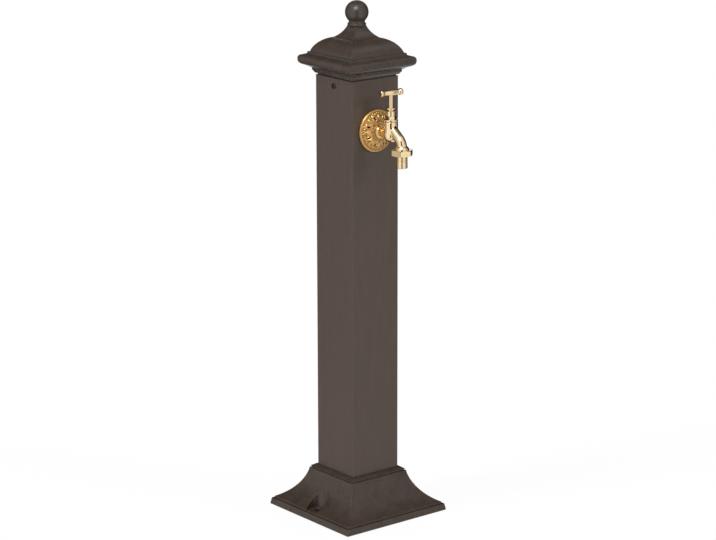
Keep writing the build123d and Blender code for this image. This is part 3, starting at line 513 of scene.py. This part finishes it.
def baked(piece):
    """The piece with its modifiers worked into a plain mesh."""
    graph = bpy.context.evaluated_depsgraph_get()
    mesh = bpy.data.meshes.new_from_object(piece.evaluated_get(graph))
    piece.modifiers.clear()
    piece.data = mesh
    return piece


def outward(mesh):
    """Merge doubles and turn every face outwards."""
    shape = bmesh.new()
    shape.from_mesh(mesh)
    merge_doubles(shape)
    bmesh.ops.recalc_face_normals(shape, faces=shape.faces)
    shape.to_mesh(mesh)
    shape.free()


def merged_copy(node, name, flat=0.4):
    """A copy of a CAD node whose loose triangles are joined into clean faces."""
    mesh = frame["nodes"][node].data.copy()
    mesh.name = name
    shape = bmesh.new()
    shape.from_mesh(mesh)
    merge_doubles(shape)
    bmesh.ops.dissolve_limit(
        shape, angle_limit=math.radians(flat), verts=shape.verts, edges=shape.edges
    )
    shape.to_mesh(mesh)
    shape.free()
    if mesh.has_custom_normals:
        mesh.attributes.remove(mesh.attributes["custom_normal"])
    return to_object(name, mesh)


def rounded(piece, width, angle=32.0, segments=3):
    """Round the edges that turn by more than an angle."""
    bevel = piece.modifiers.new("edge_round", "BEVEL")
    bevel.width = width * mm
    bevel.segments = segments
    bevel.limit_method = "ANGLE"
    bevel.angle_limit = math.radians(angle)
    bevel.use_clamp_overlap = True
    return baked(piece)


# %% Helpers for trees
def geometry_tree(name, sockets, made):
    """A tree with one output and these inputs, each a label, a kind and a default."""
    tree = bpy.data.node_groups.new(name, "GeometryNodeTree")
    for label, kind, value in sockets:
        socket = tree.interface.new_socket(
            label, in_out="INPUT", socket_type="NodeSocket" + kind
        )
        if value is not None:
            socket.default_value = value
    tree.interface.new_socket(made, in_out="OUTPUT", socket_type="NodeSocketGeometry")
    return tree, add_node(tree, "NodeGroupInput").outputs


def step_node(tree, kind, geometry, **inputs):
    """One step on the geometry, with its other inputs by name."""
    return add_node(tree, kind, {"Geometry": geometry, **inputs}).outputs[0]


def end_tree(tree, geometry, given):
    """Give the geometry its material and hand it out."""
    painted = step_node(tree, "GeometryNodeSetMaterial", geometry, Material=given["Material"])
    add_node(tree, "NodeGroupOutput", {0: painted})
    print(tree.name, "tree:", len(tree.nodes), "nodes")


def run_tree(piece, tree, values):
    """Run a tree on a piece; its inputs are set by their names, through the identifiers."""
    modifier = piece.modifiers.new(tree.name, "NODES")
    modifier.node_group = tree
    for item in tree.interface.items_tree:
        if item.item_type == "SOCKET" and item.in_out == "INPUT" and item.name in values:
            modifier[item.identifier] = values[item.name]
    baked(piece)


# %% [markdown]
# The cap follows a rule: one moulding profile goes round a square, as a picture frame does.
# A Geometry Nodes tree makes that from two numbers and a profile. It starts with a flat
# grid, one way along the profile and the other way round the square, and moves each point:
# the profile gives its distance from the axis and its height, and the way round gives a
# place on a unit square whose corners are slightly rounded.

# %% Tree for a square moulding
moulding, given = geometry_tree(
    "square_moulding",
    (
        ("Profile", "Geometry", None),
        ("Profile Points", "Int", 10),
        ("Steps per Side", "Int", 24),
        ("Corner Power", "Float", 60.0),
        ("Material", "Material", None),
    ),
    "Moulding",
)


def number(operation, first, second=0.0):
    """One arithmetic step of the moulding tree."""
    step = add_node(moulding, "ShaderNodeMath", {0: first, 1: second}, operation=operation)
    return step.outputs[0]


around = number("ADD", number("MULTIPLY", given["Steps per Side"], 4.0), 1.0)
grid = add_node(
    moulding,
    "GeometryNodeMeshGrid",
    {"Size X": 1.0, "Size Y": 1.0, "Vertices X": around, "Vertices Y": given["Profile Points"]},
)
spot = add_node(moulding, "GeometryNodeInputPosition").outputs[0]
spot_parts = split(moulding, spot)
round_way = number("MULTIPLY", number("ADD", spot_parts["X"], 0.5), 4.0)
side = number("FLOOR", number("ADD", round_way, 0.0001))
along = number("SUBTRACT", number("MULTIPLY", number("SUBTRACT", round_way, side), 2.0), 1.0)
to_corner = number("SUBTRACT", 1.0, number("ABSOLUTE", along))
crowded = number("SUBTRACT", 1.0, number("POWER", number("MAXIMUM", to_corner, 0.0), 2.6))
across = number("MULTIPLY", number("SIGN", along), crowded)
powered = number("POWER", number("ABSOLUTE", across), given["Corner Power"])
shrink = number(
    "POWER", number("ADD", 1.0, powered), number("DIVIDE", -1.0, given["Corner Power"])
)
last_row = number("SUBTRACT", given["Profile Points"], 1.0)
profile_row = number("MULTIPLY", number("ADD", spot_parts["Y"], 0.5), last_row)
profile_spot = add_node(
    moulding,
    "GeometryNodeSampleIndex",
    {"Geometry": given["Profile"], "Value": spot, "Index": number("ROUND", profile_row)},
    data_type="FLOAT_VECTOR",
)
profile_parts = split(moulding, profile_spot.outputs[0])
reach = number("MULTIPLY", profile_parts["X"], shrink)
flat_side = add_node(
    moulding,
    "ShaderNodeCombineXYZ",
    {"X": reach, "Y": number("MULTIPLY", reach, across), "Z": profile_parts["Z"]},
)
turned_side = add_node(
    moulding,
    "ShaderNodeVectorRotate",
    {"Vector": flat_side.outputs[0], "Angle": number("MULTIPLY", side, math.pi / 2)},
    rotation_type="Z_AXIS",
)
shaped = step_node(
    moulding, "GeometryNodeSetPosition", grid.outputs["Mesh"], Position=turned_side.outputs[0]
)
sealed = step_node(moulding, "GeometryNodeMergeByDistance", shaped, Distance=0.01 * mm)
plain = step_node(moulding, "GeometryNodeRealizeInstances", sealed)
end_tree(moulding, plain, given)


# %% Helpers for profiles
def arc(start, end, bulge, steps):
    """Points after start up to end on an arc; a positive bulge lies left of the way."""
    p, q = Vector(start), Vector(end)
    chord = q - p
    normal = Vector((-chord.y, chord.x)).normalized()
    half = chord.length / 2
    radius = (half * half + bulge * bulge) / (2 * abs(bulge))
    side = 1 if bulge > 0 else -1
    centre = (p + q) / 2 + normal * (bulge - side * radius)
    first = math.atan2(p.y - centre.y, p.x - centre.x)
    sweep = 2 * math.asin(min(1.0, half / radius))
    points = []
    for step in range(1, steps + 1):
        angle = first - side * sweep * step / steps
        points.append((centre.x + radius * math.cos(angle), centre.y + radius * math.sin(angle)))
    return points


def eased(points, radius, steps=3):
    """The same line with its inner corners rounded, where the runs are long enough."""
    line = [points[0]]
    for before, here, after in zip(points, points[1:], points[2:]):
        a, b, c = Vector(before), Vector(here), Vector(after)
        one, two = a - b, c - b
        turning = math.pi - one.angle(two)
        room = min(one.length, two.length) * 0.45
        if turning < math.radians(25) or room < 0.08:
            line.append(here)
            continue
        cut = min(radius * math.tan(turning / 2), room)
        p, q = b + one.normalized() * cut, b + two.normalized() * cut
        for step in range(steps + 1):
            t = step / steps
            spot = p * (1 - t) ** 2 + b * 2 * t * (1 - t) + q * t * t
            line.append((spot.x, spot.y))
    line.append(points[-1])
    return line


def profile_mesh(name, points):
    """A polyline mesh of a profile, distance from the axis along X and height along Z."""
    mesh = bpy.data.meshes.new(name)
    mesh.from_pydata(
        [(r * mm, 0, z * mm) for r, z in points],
        [(step, step + 1) for step in range(len(points) - 1)],
        [],
    )
    return mesh


def square_moulding(name, profile, corner_power):
    """One profile led round a square, as a closed mesh."""
    piece = to_object(name, profile_mesh(name, profile))
    run_tree(
        piece,
        moulding,
        {
            "Profile Points": len(profile),
            "Steps per Side": 26,
            "Corner Power": corner_power,
            "Material": coated_casting,
        },
    )
    outward(piece.data)
    return piece


# %% [markdown]
# The cap's profile runs from the middle of the top, down the hollow neck and the dome, over
# the bead and the big roll, in under the soffit to the dark joint above the post, and then
# down and up again round the skirt that is hidden in the post.

# %% Cap moulding
cap_profile = [(0.0, 943.0), (12.5, 943.0)]
cap_profile += arc((12.5, 943.0), (30.03, 920.96), -2.28, 8)
cap_profile += arc((30.03, 920.96), (61.7, 895.0), 5.23, 14)
cap_profile += [(62.0, 892.2), (63.3, 891.9), (64.1, 893.0), (65.6, 892.6), (66.1, 889.7)]
cap_profile += [(67.4, 888.6), (75.59, 886.18)]
roll_middle = (79.0, 878.83)
cap_profile += arc((75.59, 886.18), roll_middle, 1.35, 5)
cap_profile += arc(roll_middle, (72.59, 868.41), 2.2, 7)
cap_profile += [(65.97, 865.62), (59.8, 861.9), (59.56, 858.18), (55.5, 852.7)]
cap_profile += [(51.7, 852.7), (51.7, 850.0), (51.7, 822.0), (47.7, 822.0)]
cap_profile += [(47.7, 856.0), (55.0, 856.0), (55.0, 891.85)]
cap_profile += arc((55.0, 891.85), (25.43, 916.03), -4.9, 8)
cap_profile += [(0.0, 916.03)]
cap = square_moulding("cap_moulding", eased(cap_profile, 0.3), 320.0)
stand_in(cap, "cap_casting", "standpipe", 40)


# %% [markdown]
# The foot is the same kind of moulding with another profile: the tray underneath, the
# flange, a fine groove, the long scoop, a second groove, the sloping collar, and the socket
# that holds the post. The two anchor pockets, the bosses under them, their holes and the
# round opening for the supply are then cut and joined with Boolean modifiers, and the edges
# that these leave are rounded by a bevel.

# %% Foot casting
foot_profile = [(0.0, 22.0), (55.3, 22.0), (55.3, 80.5), (58.2, 80.5), (58.2, 85.4)]
foot_profile += [(59.0, 85.0), (64.7, 81.2), (64.9, 80.2), (63.2, 79.9), (63.2, 78.3)]
foot_profile += [(65.2, 78.4), (66.9, 77.6), (66.8, 75.8)]
foot_profile += arc((66.8, 75.4), (115.2, 15.9), -8.4, 22)
foot_profile += [(115.3, 10.4), (118.0, 10.4), (118.4, 12.8), (119.3, 12.4)]
foot_profile += [(121.5, 0.9), (120.9, 0.0), (113.5, 0.0), (113.5, 12.0), (0.0, 12.0)]
foot = square_moulding("foot_casting", eased(foot_profile, 0.35), 240.0)


def post_of(name, centre, radius, low, high, steps=72):
    """An upright round bar, to cut with or to join."""
    shape = bmesh.new()
    bmesh.ops.create_cone(
        shape,
        cap_ends=True,
        segments=steps,
        radius1=radius * mm,
        radius2=radius * mm,
        depth=(high - low) * mm,
        matrix=Matrix.Translation((centre[0] * mm, centre[1] * mm, (low + high) / 2 * mm)),
    )
    return shape_object(name, shape)


def combine(piece, other, operation):
    """Join or cut with another solid, which is then thrown away."""
    step = piece.modifiers.new("combine", "BOOLEAN")
    step.operation = operation
    step.object = other
    baked(piece)
    bpy.data.objects.remove(other)


for side in (-1, 1):
    middle = (98.0 * side, 0.0)
    combine(foot, post_of("boss", middle, 17.0, 0.0, 12.6), "UNION")
    combine(foot, post_of("pocket", middle, 21.0, 15.0, 90.0, 96), "DIFFERENCE")
    combine(foot, post_of("anchor_hole", middle, 5.5, -2.0, 20.0, 48), "DIFFERENCE")
combine(foot, post_of("opening", (0.0, 0.0), 46.0, 5.0, 30.0, 120), "DIFFERENCE")
rounded(foot, 0.5, 40, 2)
stand_in(foot, "base_casting", "standpipe", 40)


# %% [markdown]
# Everything turned on a lathe is a profile spun about an axis. The ball is the simplest:
# a ring with rounded edges, a small fillet that the caster leaves for strength, and the
# ball itself. A pole where the profile meets the axis is closed by one shared point.


# %% Turned pieces
def lathe(name, points, centre, steps=96):
    """A closed solid of revolution; points are (radius, height), in order round the section."""
    shape = bmesh.new()
    rings = []
    for r, z in points:
        if r < 0.01:
            rings.append([shape.verts.new((centre[0] * mm, centre[1] * mm, z * mm))] * steps)
            continue
        ring = []
        for step in range(steps):
            angle = 2 * math.pi * step / steps
            x = (centre[0] + r * math.cos(angle)) * mm
            y = (centre[1] + r * math.sin(angle)) * mm
            ring.append(shape.verts.new((x, y, z * mm)))
        rings.append(ring)
    pairs = list(zip(rings, rings[1:]))
    if points[0][0] >= 0.01:
        pairs.append((rings[-1], rings[0]))
    for low, high in pairs:
        for step in range(steps):
            after = (step + 1) % steps
            corners = []
            for vertex in (low[step], low[after], high[after], high[step]):
                if vertex not in corners:
                    corners.append(vertex)
            if len(corners) > 2:
                shape.faces.new(corners)
    bmesh.ops.recalc_face_normals(shape, faces=shape.faces)
    return shape_object(name, shape)


ball_line = eased([(0.0, 943.0), (17.3, 943.0), (17.3, 947.2), (15.6, 948.0)], 1.2)
ball_line += arc((15.4, 948.6), (15.2, 952.1), 0.15, 4)
ball_line += arc((15.2, 952.1), (22.0, 968.0), -1.77, 12)
ball_line += arc((22.0, 968.0), (0.0, 990.0), -6.44, 18)
ball = lathe("ball_on_ring", ball_line, (0, 0))
stand_in(ball, "ball_finial", "standpipe", 40)

# %% [markdown]
# The tap body is one casting, so nothing on it meets at a hard inner corner: the barrel
# runs into the inlet neck and the spout through soft fillets. The CAD solid has the right
# outline with sharp joins. A voxel remesh turns it into one even skin, and a few rounds of
# smoothing pull the joins into fillets and round the edges, as casting and the mop do.

# %% Tap casting
tap = merged_copy("tap_body", "tap_casting")
skin = tap.modifiers.new("one_skin", "REMESH")
skin.mode = "VOXEL"
skin.voxel_size = 0.55 * mm
mop = tap.modifiers.new("mop_polish", "SMOOTH")
mop.factor = 0.5
mop.iterations = 22
baked(tap)
stand_in(tap, "tap_body", "standpipe", 60)


# %% [markdown]
# A nut or a hexagon on a turned part gets its looks from the lathe too: the corners are
# turned down by a cone, and that leaves the curved edges on each flat. The height of the
# outer wall is worked out for every angle, from how far the corner sticks out of the cone.


# %% Hexagons
def hexagon(name, centre, half, low, high, bore, turn, cone_low, cone_high, steps=144):
    """A hexagon with turned corners and a bore; half is half the width across the flats."""
    shape = bmesh.new()
    rings = [[], [], [], [], [], []]
    for step in range(steps):
        angle = 2 * math.pi * step / steps
        within = (angle - math.radians(turn)) % (math.pi / 3) - math.pi / 6
        wall = min(half / math.cos(within), half * 1.142)
        x, y = math.cos(angle), math.sin(angle)
        slope = math.tan(math.radians(30))
        top = high - max(0.0, wall - cone_high) * slope
        bottom = low + max(0.0, wall - cone_low) * slope
        section = [
            (bore, low),
            (min(cone_low, wall), low),
            (wall, bottom),
            (wall, top),
            (min(cone_high, wall), high),
            (bore, high),
        ]
        for ring, (r, z) in zip(rings, section):
            ring.append(
                shape.verts.new(((centre[0] + r * x) * mm, (centre[1] + r * y) * mm, z * mm))
            )
    for low_ring, high_ring in zip(rings, rings[1:] + rings[:1]):
        for step in range(steps):
            after = (step + 1) % steps
            shape.faces.new((low_ring[step], low_ring[after], high_ring[after], high_ring[step]))
    merge_doubles(shape)
    bmesh.ops.recalc_face_normals(shape, faces=shape.faces)
    return shape_object(name, shape)


def joined(name, pieces):
    """Several closed shapes as one piece."""
    shape = bmesh.new()
    for piece in pieces:
        shape.from_mesh(piece.data)
        bpy.data.objects.remove(piece)
    return shape_object(name, shape)


spindle_axis = (0.0, -100.0)
outlet_axis = (0.0, -132.4)
post_half = 55.0
tap_height = 753.5

# %% [markdown]
# The bonnet screws into the body and carries the spindle. Seen from outside it is a turned
# flange, a hexagon for the spanner and a round neck, with the gland screw above it.

# %% Bonnet
bonnet_skirt = lathe(
    "bonnet_skirt",
    eased([(5.3, 779.0), (5.3, 772.5), (9.9, 772.5), (9.9, 779.0)], 0.3)
    + eased([(9.9, 779.0), (13.2, 779.0), (13.2, 781.4), (12.6, 782.0), (5.3, 782.0)], 0.35),
    spindle_axis,
)
bonnet_hexagon = hexagon(
    "bonnet_hexagon", spindle_axis, 8.8, 781.9, 788.0, 5.3, 30.0, 9.9, 8.9
)
neck_line = [(4.3, 787.5), (8.9, 787.5), (8.5, 788.7), (8.4, 790.0), (8.4, 797.0), (5.6, 797.0)]
bonnet_neck = lathe(
    "bonnet_neck", eased(neck_line, 0.5) + [(5.6, 790.5), (4.3, 790.5)], spindle_axis
)
bonnet = joined("bonnet_turned", [bonnet_skirt, bonnet_hexagon, bonnet_neck])
stand_in(bonnet, "bonnet", "standpipe", 25)

# %% [markdown]
# The union nut draws the hose tail up against its washer. Its hexagon is coned at both
# ends, and the tail below it is a plain spigot with three shallow grips for the hose.

# %% Union nut and hose tail
lip_line = [(10.5, 719.05), (14.0, 719.05), (14.0, 720.95), (10.5, 720.95)]
union = joined(
    "union_nut_turned",
    [
        hexagon("union_wall", outlet_axis, 18.0, 719.0, 729.8, 13.25, 41.0, 18.4, 18.4),
        lathe("union_lip", lip_line, outlet_axis),
    ],
)
stand_in(union, "union_nut", "union_nut", 25)

tail_line = [(7.2, 695.0), (9.4, 695.0), (10.2, 695.8), (10.2, 705.8)]
for rib in range(3):
    rib_low = 705.8 + 4.4 * rib
    tail_line += [(9.75, rib_low + 0.05), (10.2, rib_low + 3.5), (10.2, rib_low + 4.35)]
tail_line += [(10.2, 721.0), (12.6, 721.0), (12.6, 722.6), (7.2, 722.6)]
tail = lathe("hose_tail_turned", eased(tail_line, 0.25, 2), outlet_axis)
stand_in(tail, "hose_tail", "hose_tail", 40)

# %% [markdown]
# What comes several times round an axis is made once and turned into place by a second
# Geometry Nodes tree: points at the centre, one copy on each, and a turn about the axis by
# an equal share of a full circle. It serves the rosette's eight sectors, the four screws
# under the post and the two screws that hold the cap.

# %% Tree for turned copies
copies, given = geometry_tree(
    "turned_copies",
    (
        ("One", "Geometry", None),
        ("Count", "Int", 8),
        ("Axis", "Vector", (0.0, 0.0, 1.0)),
        ("Centre", "Vector", (0.0, 0.0, 0.0)),
        ("Material", "Material", None),
    ),
    "All",
)
spots = add_node(
    copies, "GeometryNodePoints", {"Count": given["Count"], "Position": given["Centre"]}
)
index = add_node(copies, "GeometryNodeInputIndex").outputs[0]
part_turn = add_node(
    copies, "ShaderNodeMath", {0: 2 * math.pi, 1: given["Count"]}, operation="DIVIDE"
)
own_turn = add_node(
    copies, "ShaderNodeMath", {0: index, 1: part_turn.outputs[0]}, operation="MULTIPLY"
)
facing = add_node(
    copies,
    "FunctionNodeAxisAngleToRotation",
    {"Axis": given["Axis"], "Angle": own_turn.outputs[0]},
)
spread = add_node(
    copies,
    "GeometryNodeInstanceOnPoints",
    {"Points": spots.outputs[0], "Instance": given["One"], "Rotation": facing.outputs[0]},
)
plain = step_node(copies, "GeometryNodeRealizeInstances", spread.outputs[0])
closed = step_node(copies, "GeometryNodeMergeByDistance", plain, Distance=0.01 * mm)
end_tree(copies, closed, given)


def turned_copies(piece, count, axis, centre, node):
    """Turn copies of one element round an axis, in the finish of a CAD node."""
    run_tree(
        piece,
        copies,
        {
            "Count": count,
            "Axis": axis,
            "Centre": [value * mm for value in centre],
            "Material": finishes[slot_of[node]],
        },
    )


# %% [markdown]
# The rosette is a thin domed shield. One sector of forty-five degrees is enough: a grid of
# points in radius and angle, lifted from the dome by a relief. The relief is a leaf with
# five lobes and a midrib, a pierced drop between two leaves, a row of small hollow scallops,
# a beaded ring and a rounded rim. It is a traditional lace pattern of no particular maker.
# Where a piercing goes through, the faces are left out.

# %% Rosette relief
rosette_inner = 10.8
boss_radius = 15.0
rim_start = 36.2
lace_end = 36.8
rim_top = 37.4
rosette_outer = 40.5
rim_round = 3.1
dome_foot = 5.0
dome_rise = 9.0
dome_swell = 2.16
sector_count = 8
sector = math.radians(360 / sector_count)


def bump(distance):
    """A smooth hump that is 1 in the middle and 0 from distance 1 outwards."""
    return max(0.0, 1.0 - distance * distance) ** 0.5 if distance < 1.0 else 0.0


def lobe(u, v, base_u, base_v, lean, length, width):
    """Height of a leaf lobe that starts at a base point and leans by an angle."""
    s, c = math.sin(lean), math.cos(lean)
    du, dv = u - base_u, v - base_v
    along, side = du * s + dv * c, du * c - dv * s
    middle = length / 2
    taper = width * (0.55 + 0.45 * math.sin(math.pi * min(max(along / length, 0.0), 1.0)))
    far = math.hypot((along - middle) / middle, side / taper)
    crease = 0.45 * math.exp(-((side / (0.22 * width)) ** 2))
    return bump(far) * (1.0 - crease)


def dome(r):
    """Depth of the plain shield in front of the post, in millimetres."""
    if r > rim_top:
        t = min((r - rim_top) / rim_round, 1.0)
        return rim_round + rim_round * math.sqrt(max(0.0, 1 - t * t))
    if r > rim_start:
        t = (rim_top - r) / (rim_top - rim_start)
        return 2 * rim_round - (2 * rim_round - dome_foot) * t * t
    t = (rim_start - r) / (rim_start - boss_radius)
    if t < 1.0:
        return dome_foot + dome_rise * t + dome_swell * math.sin(math.pi * t)
    return dome_foot + dome_rise


def relief_at(r, phi):
    """Relief above the dome and whether the point is pierced, for a place in the sector."""
    u, v = r * phi, r
    height = 0.0
    for lean, base, length, width in (
        (0.0, (0.0, 17.0), 16.5, 3.1),
        (0.52, (1.3, 18.5), 12.0, 2.3),
        (-0.52, (-1.3, 18.5), 12.0, 2.3),
        (1.02, (1.6, 17.6), 8.6, 1.9),
        (-1.02, (-1.6, 17.6), 8.6, 1.9),
    ):
        height = max(height, 1.25 * lobe(u, v, *base, lean, length, width))
    edge_phi = sector / 2 - abs(phi)
    drop_u, drop_v = r * edge_phi, r - 26.9
    drop = math.hypot(drop_u / (2.0 + 0.13 * drop_v), drop_v / 4.0)
    rim_of_drop = math.exp(-(((drop - 1.22) / 0.20) ** 2))
    height = max(height, 0.9 * rim_of_drop)
    scallop = sector / 3
    nearest = round(phi / scallop) * scallop
    hole_u, hole_v = r * (phi - nearest), r - 34.3
    hole = math.hypot(hole_u, hole_v)
    height = max(height, 0.75 * math.exp(-(((hole - 2.45) / 0.75) ** 2)))
    bead_count = 6
    bead_turn = sector / bead_count
    bead_nearest = (math.floor(phi / bead_turn) + 0.5) * bead_turn
    bead = math.hypot(r * (phi - bead_nearest), r - 16.2) / 1.05
    height = max(height, 0.9 * bump(bead))
    height -= 0.7 * math.exp(-((hole / 1.2) ** 2))
    pierced = drop < 0.80
    return height, pierced


# %% Rosette
lace_rings = 58
lace_width = 36.7 - boss_radius
phi_steps = 60

ring_radii = [rosette_inner, 12.0, 13.5, 14.6, boss_radius]
ring_radii += [boss_radius + lace_width * (ring + 1) / lace_rings for ring in range(lace_rings)]
ring_radii += [37.1, rim_top, 37.8, 38.3, 38.8, 39.3, 39.7, 40.05, 40.3, 40.44, rosette_outer]
turns = [-sector / 2 + sector * step / phi_steps for step in range(phi_steps + 1)]


def on_shield(r, phi, depth):
    """A point of the sector, this far in front of the post."""
    return (r * math.sin(phi) * mm, -(post_half + depth) * mm, r * math.cos(phi) * mm)


front, levels, holes = [], [], []
for r in ring_radii:
    in_lace = boss_radius < r < lace_end
    for phi in turns:
        height, pierced = relief_at(r, phi) if in_lace else (0.0, False)
        front.append(on_shield(r, phi, dome(r) + height))
        levels.append(min(1.0, 0.08 + height) if in_lace else 0.42)
        holes.append(pierced)
row = phi_steps + 1
faces = []
for ring in range(len(ring_radii) - 1):
    for step in range(phi_steps):
        corners = (
            ring * row + step,
            ring * row + step + 1,
            (ring + 1) * row + step + 1,
            (ring + 1) * row + step,
        )
        if not all(holes[corner] for corner in corners):
            faces.append(corners)
last = (len(ring_radii) - 1) * row
for phi in turns:
    front.append(on_shield(rosette_outer, phi, 0.05))
    levels.append(0.5)
for step in range(phi_steps):
    faces.append((last + step, last + step + 1, last + row + step + 1, last + row + step))
sector_mesh = bpy.data.meshes.new("rosette_lace")
sector_mesh.from_pydata(front, [], faces)
sector_mesh.attributes.new("relief", "FLOAT", "POINT").data.foreach_set("value", levels)
rosette = to_object("rosette_lace", sector_mesh)
turned_copies(rosette, sector_count, (0.0, 1.0, 0.0), (0.0, 0.0, tap_height), "rosette")
shape = bmesh.new()
shape.from_mesh(rosette.data)
bmesh.ops.delete(
    shape, geom=[vertex for vertex in shape.verts if not vertex.link_faces], context="VERTS"
)
bmesh.ops.recalc_face_normals(shape, faces=shape.faces)
if sum(face.normal.y * face.calc_area() for face in shape.faces) > 0:
    bmesh.ops.reverse_faces(shape, faces=shape.faces)
shape.to_mesh(rosette.data)
shape.free()
wall = rosette.modifiers.new("wall", "SOLIDIFY")
wall.thickness = 1.1 * mm
wall.offset = -1.0
baked(rosette)
stand_in(rosette, "rosette", "standpipe", 70)

# %% [markdown]
# The screws are made once each and then repeated: a button head with a hexagon recess for
# the cap, and a hexagon head with a coned top for the four that hold the post down.

# %% Cap screws
cap_screw = lathe(
    "cap_screw_pair",
    [(0.0, -9.0), (2.6, -9.0), (3.0, -8.6), (3.0, 0.0), (5.6, 0.0), (5.6, 0.7)]
    + arc((5.6, 0.7), (2.3, 3.0), 0.55, 6)
    + [(1.95, 2.9), (1.95, 1.3), (0.0, 0.9)],
    (0, 0),
    48,
)
cap_screw.data.transform(
    Matrix.Translation((post_half * mm, 0, 835.0 * mm)) @ Matrix.Rotation(math.pi / 2, 4, "Y")
)
turned_copies(cap_screw, 2, (0.0, 0.0, 1.0), (0, 0, 0), "cap_screws")
stand_in(cap_screw, "cap_screws", "standpipe")

# %% Foot screws
head = hexagon("foot_screw_head", (41.0, 41.0), 6.5, 6.7, 12.0, 0.6, 0.0, 6.6, 7.6, 72)
shank = lathe(
    "foot_screw_shank",
    [(0.0, 7.6), (3.4, 7.6), (4.0, 12.0), (4.0, 28.6), (3.4, 29.0), (0.0, 29.0)],
    (41.0, 41.0),
    48,
)
foot_screw = joined("foot_screw_set", [head, shank])
turned_copies(foot_screw, 4, (0.0, 0.0, 1.0), (0, 0, 0), "post_foot_screws")
stand_in(foot_screw, "post_foot_screws", "standpipe")

# %% [markdown]
# The T-handle is a turned bar with a waist on each side and a knob at each end. The CAD
# solid has that outline already, so it is copied with its small edges rounded, and so are
# the gland screw's head and the spindle.

# %% Handle, gland screw and spindle
handle = rounded(merged_copy("tee_handle", "tee_bar", 0.2), 0.35, 38)
stand_in(handle, "tee_handle", "spindle", 45)
gland = rounded(merged_copy("gland_screw", "gland_screw_turned", 0.2), 0.25, 38)
stand_in(gland, "gland_screw", "standpipe", 45)
stem = rounded(merged_copy("spindle", "spindle_turned", 0.2), 0.2, 38)
stand_in(stem, "spindle", "spindle", 45)

# %% [markdown]
# Last, the thread on the supply connector, which shows under the foot. A spiral curve with
# a small four-sided section winds round the plain shank at the real pitch of a half-inch
# pipe thread, fourteen to the inch. It only adds to the CAD piece, which stays.

# %% Supply thread
thread, given = geometry_tree(
    "outer_thread",
    (
        ("Radius", "Float", 0.01),
        ("Pitch", "Float", 0.0018),
        ("Turns", "Float", 4.0),
        ("Axis Place", "Vector", None),
        ("Material", "Material", None),
    ),
    "Thread",
)
rise = add_node(
    thread, "ShaderNodeMath", {0: given["Pitch"], 1: given["Turns"]}, operation="MULTIPLY"
)
helix = add_node(
    thread,
    "GeometryNodeCurveSpiral",
    {
        "Resolution": 48,
        "Rotations": given["Turns"],
        "Start Radius": given["Radius"],
        "End Radius": given["Radius"],
        "Height": rise.outputs[0],
    },
)
section = add_node(
    thread, "GeometryNodeCurvePrimitiveCircle", {"Resolution": 4, "Radius": 0.62 * mm}
)
wound = add_node(
    thread,
    "GeometryNodeCurveToMesh",
    {"Curve": helix.outputs[0], "Profile Curve": section.outputs[0], "Fill Caps": True},
)
placed = step_node(
    thread, "GeometryNodeTransform", wound.outputs[0], Translation=given["Axis Place"]
)
plain = step_node(thread, "GeometryNodeRealizeInstances", placed)
end_tree(thread, plain, given)
supply_thread = to_object("supply_thread", bpy.data.meshes.new("supply_thread"))
run_tree(
    supply_thread,
    thread,
    {
        "Radius": 9.85 * mm,
        "Pitch": 1.814 * mm,
        "Turns": 3.9,
        "Axis Place": (0.0, -26.0 * mm, 9.0 * mm),
        "Material": plain_brass,
    },
)
outward(supply_thread.data)
supply_thread.data.shade_smooth()
supply_thread.data.set_sharp_from_angle(angle=math.radians(35))
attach(supply_thread, "standpipe")
print("supply thread faces", len(supply_thread.data.polygons))
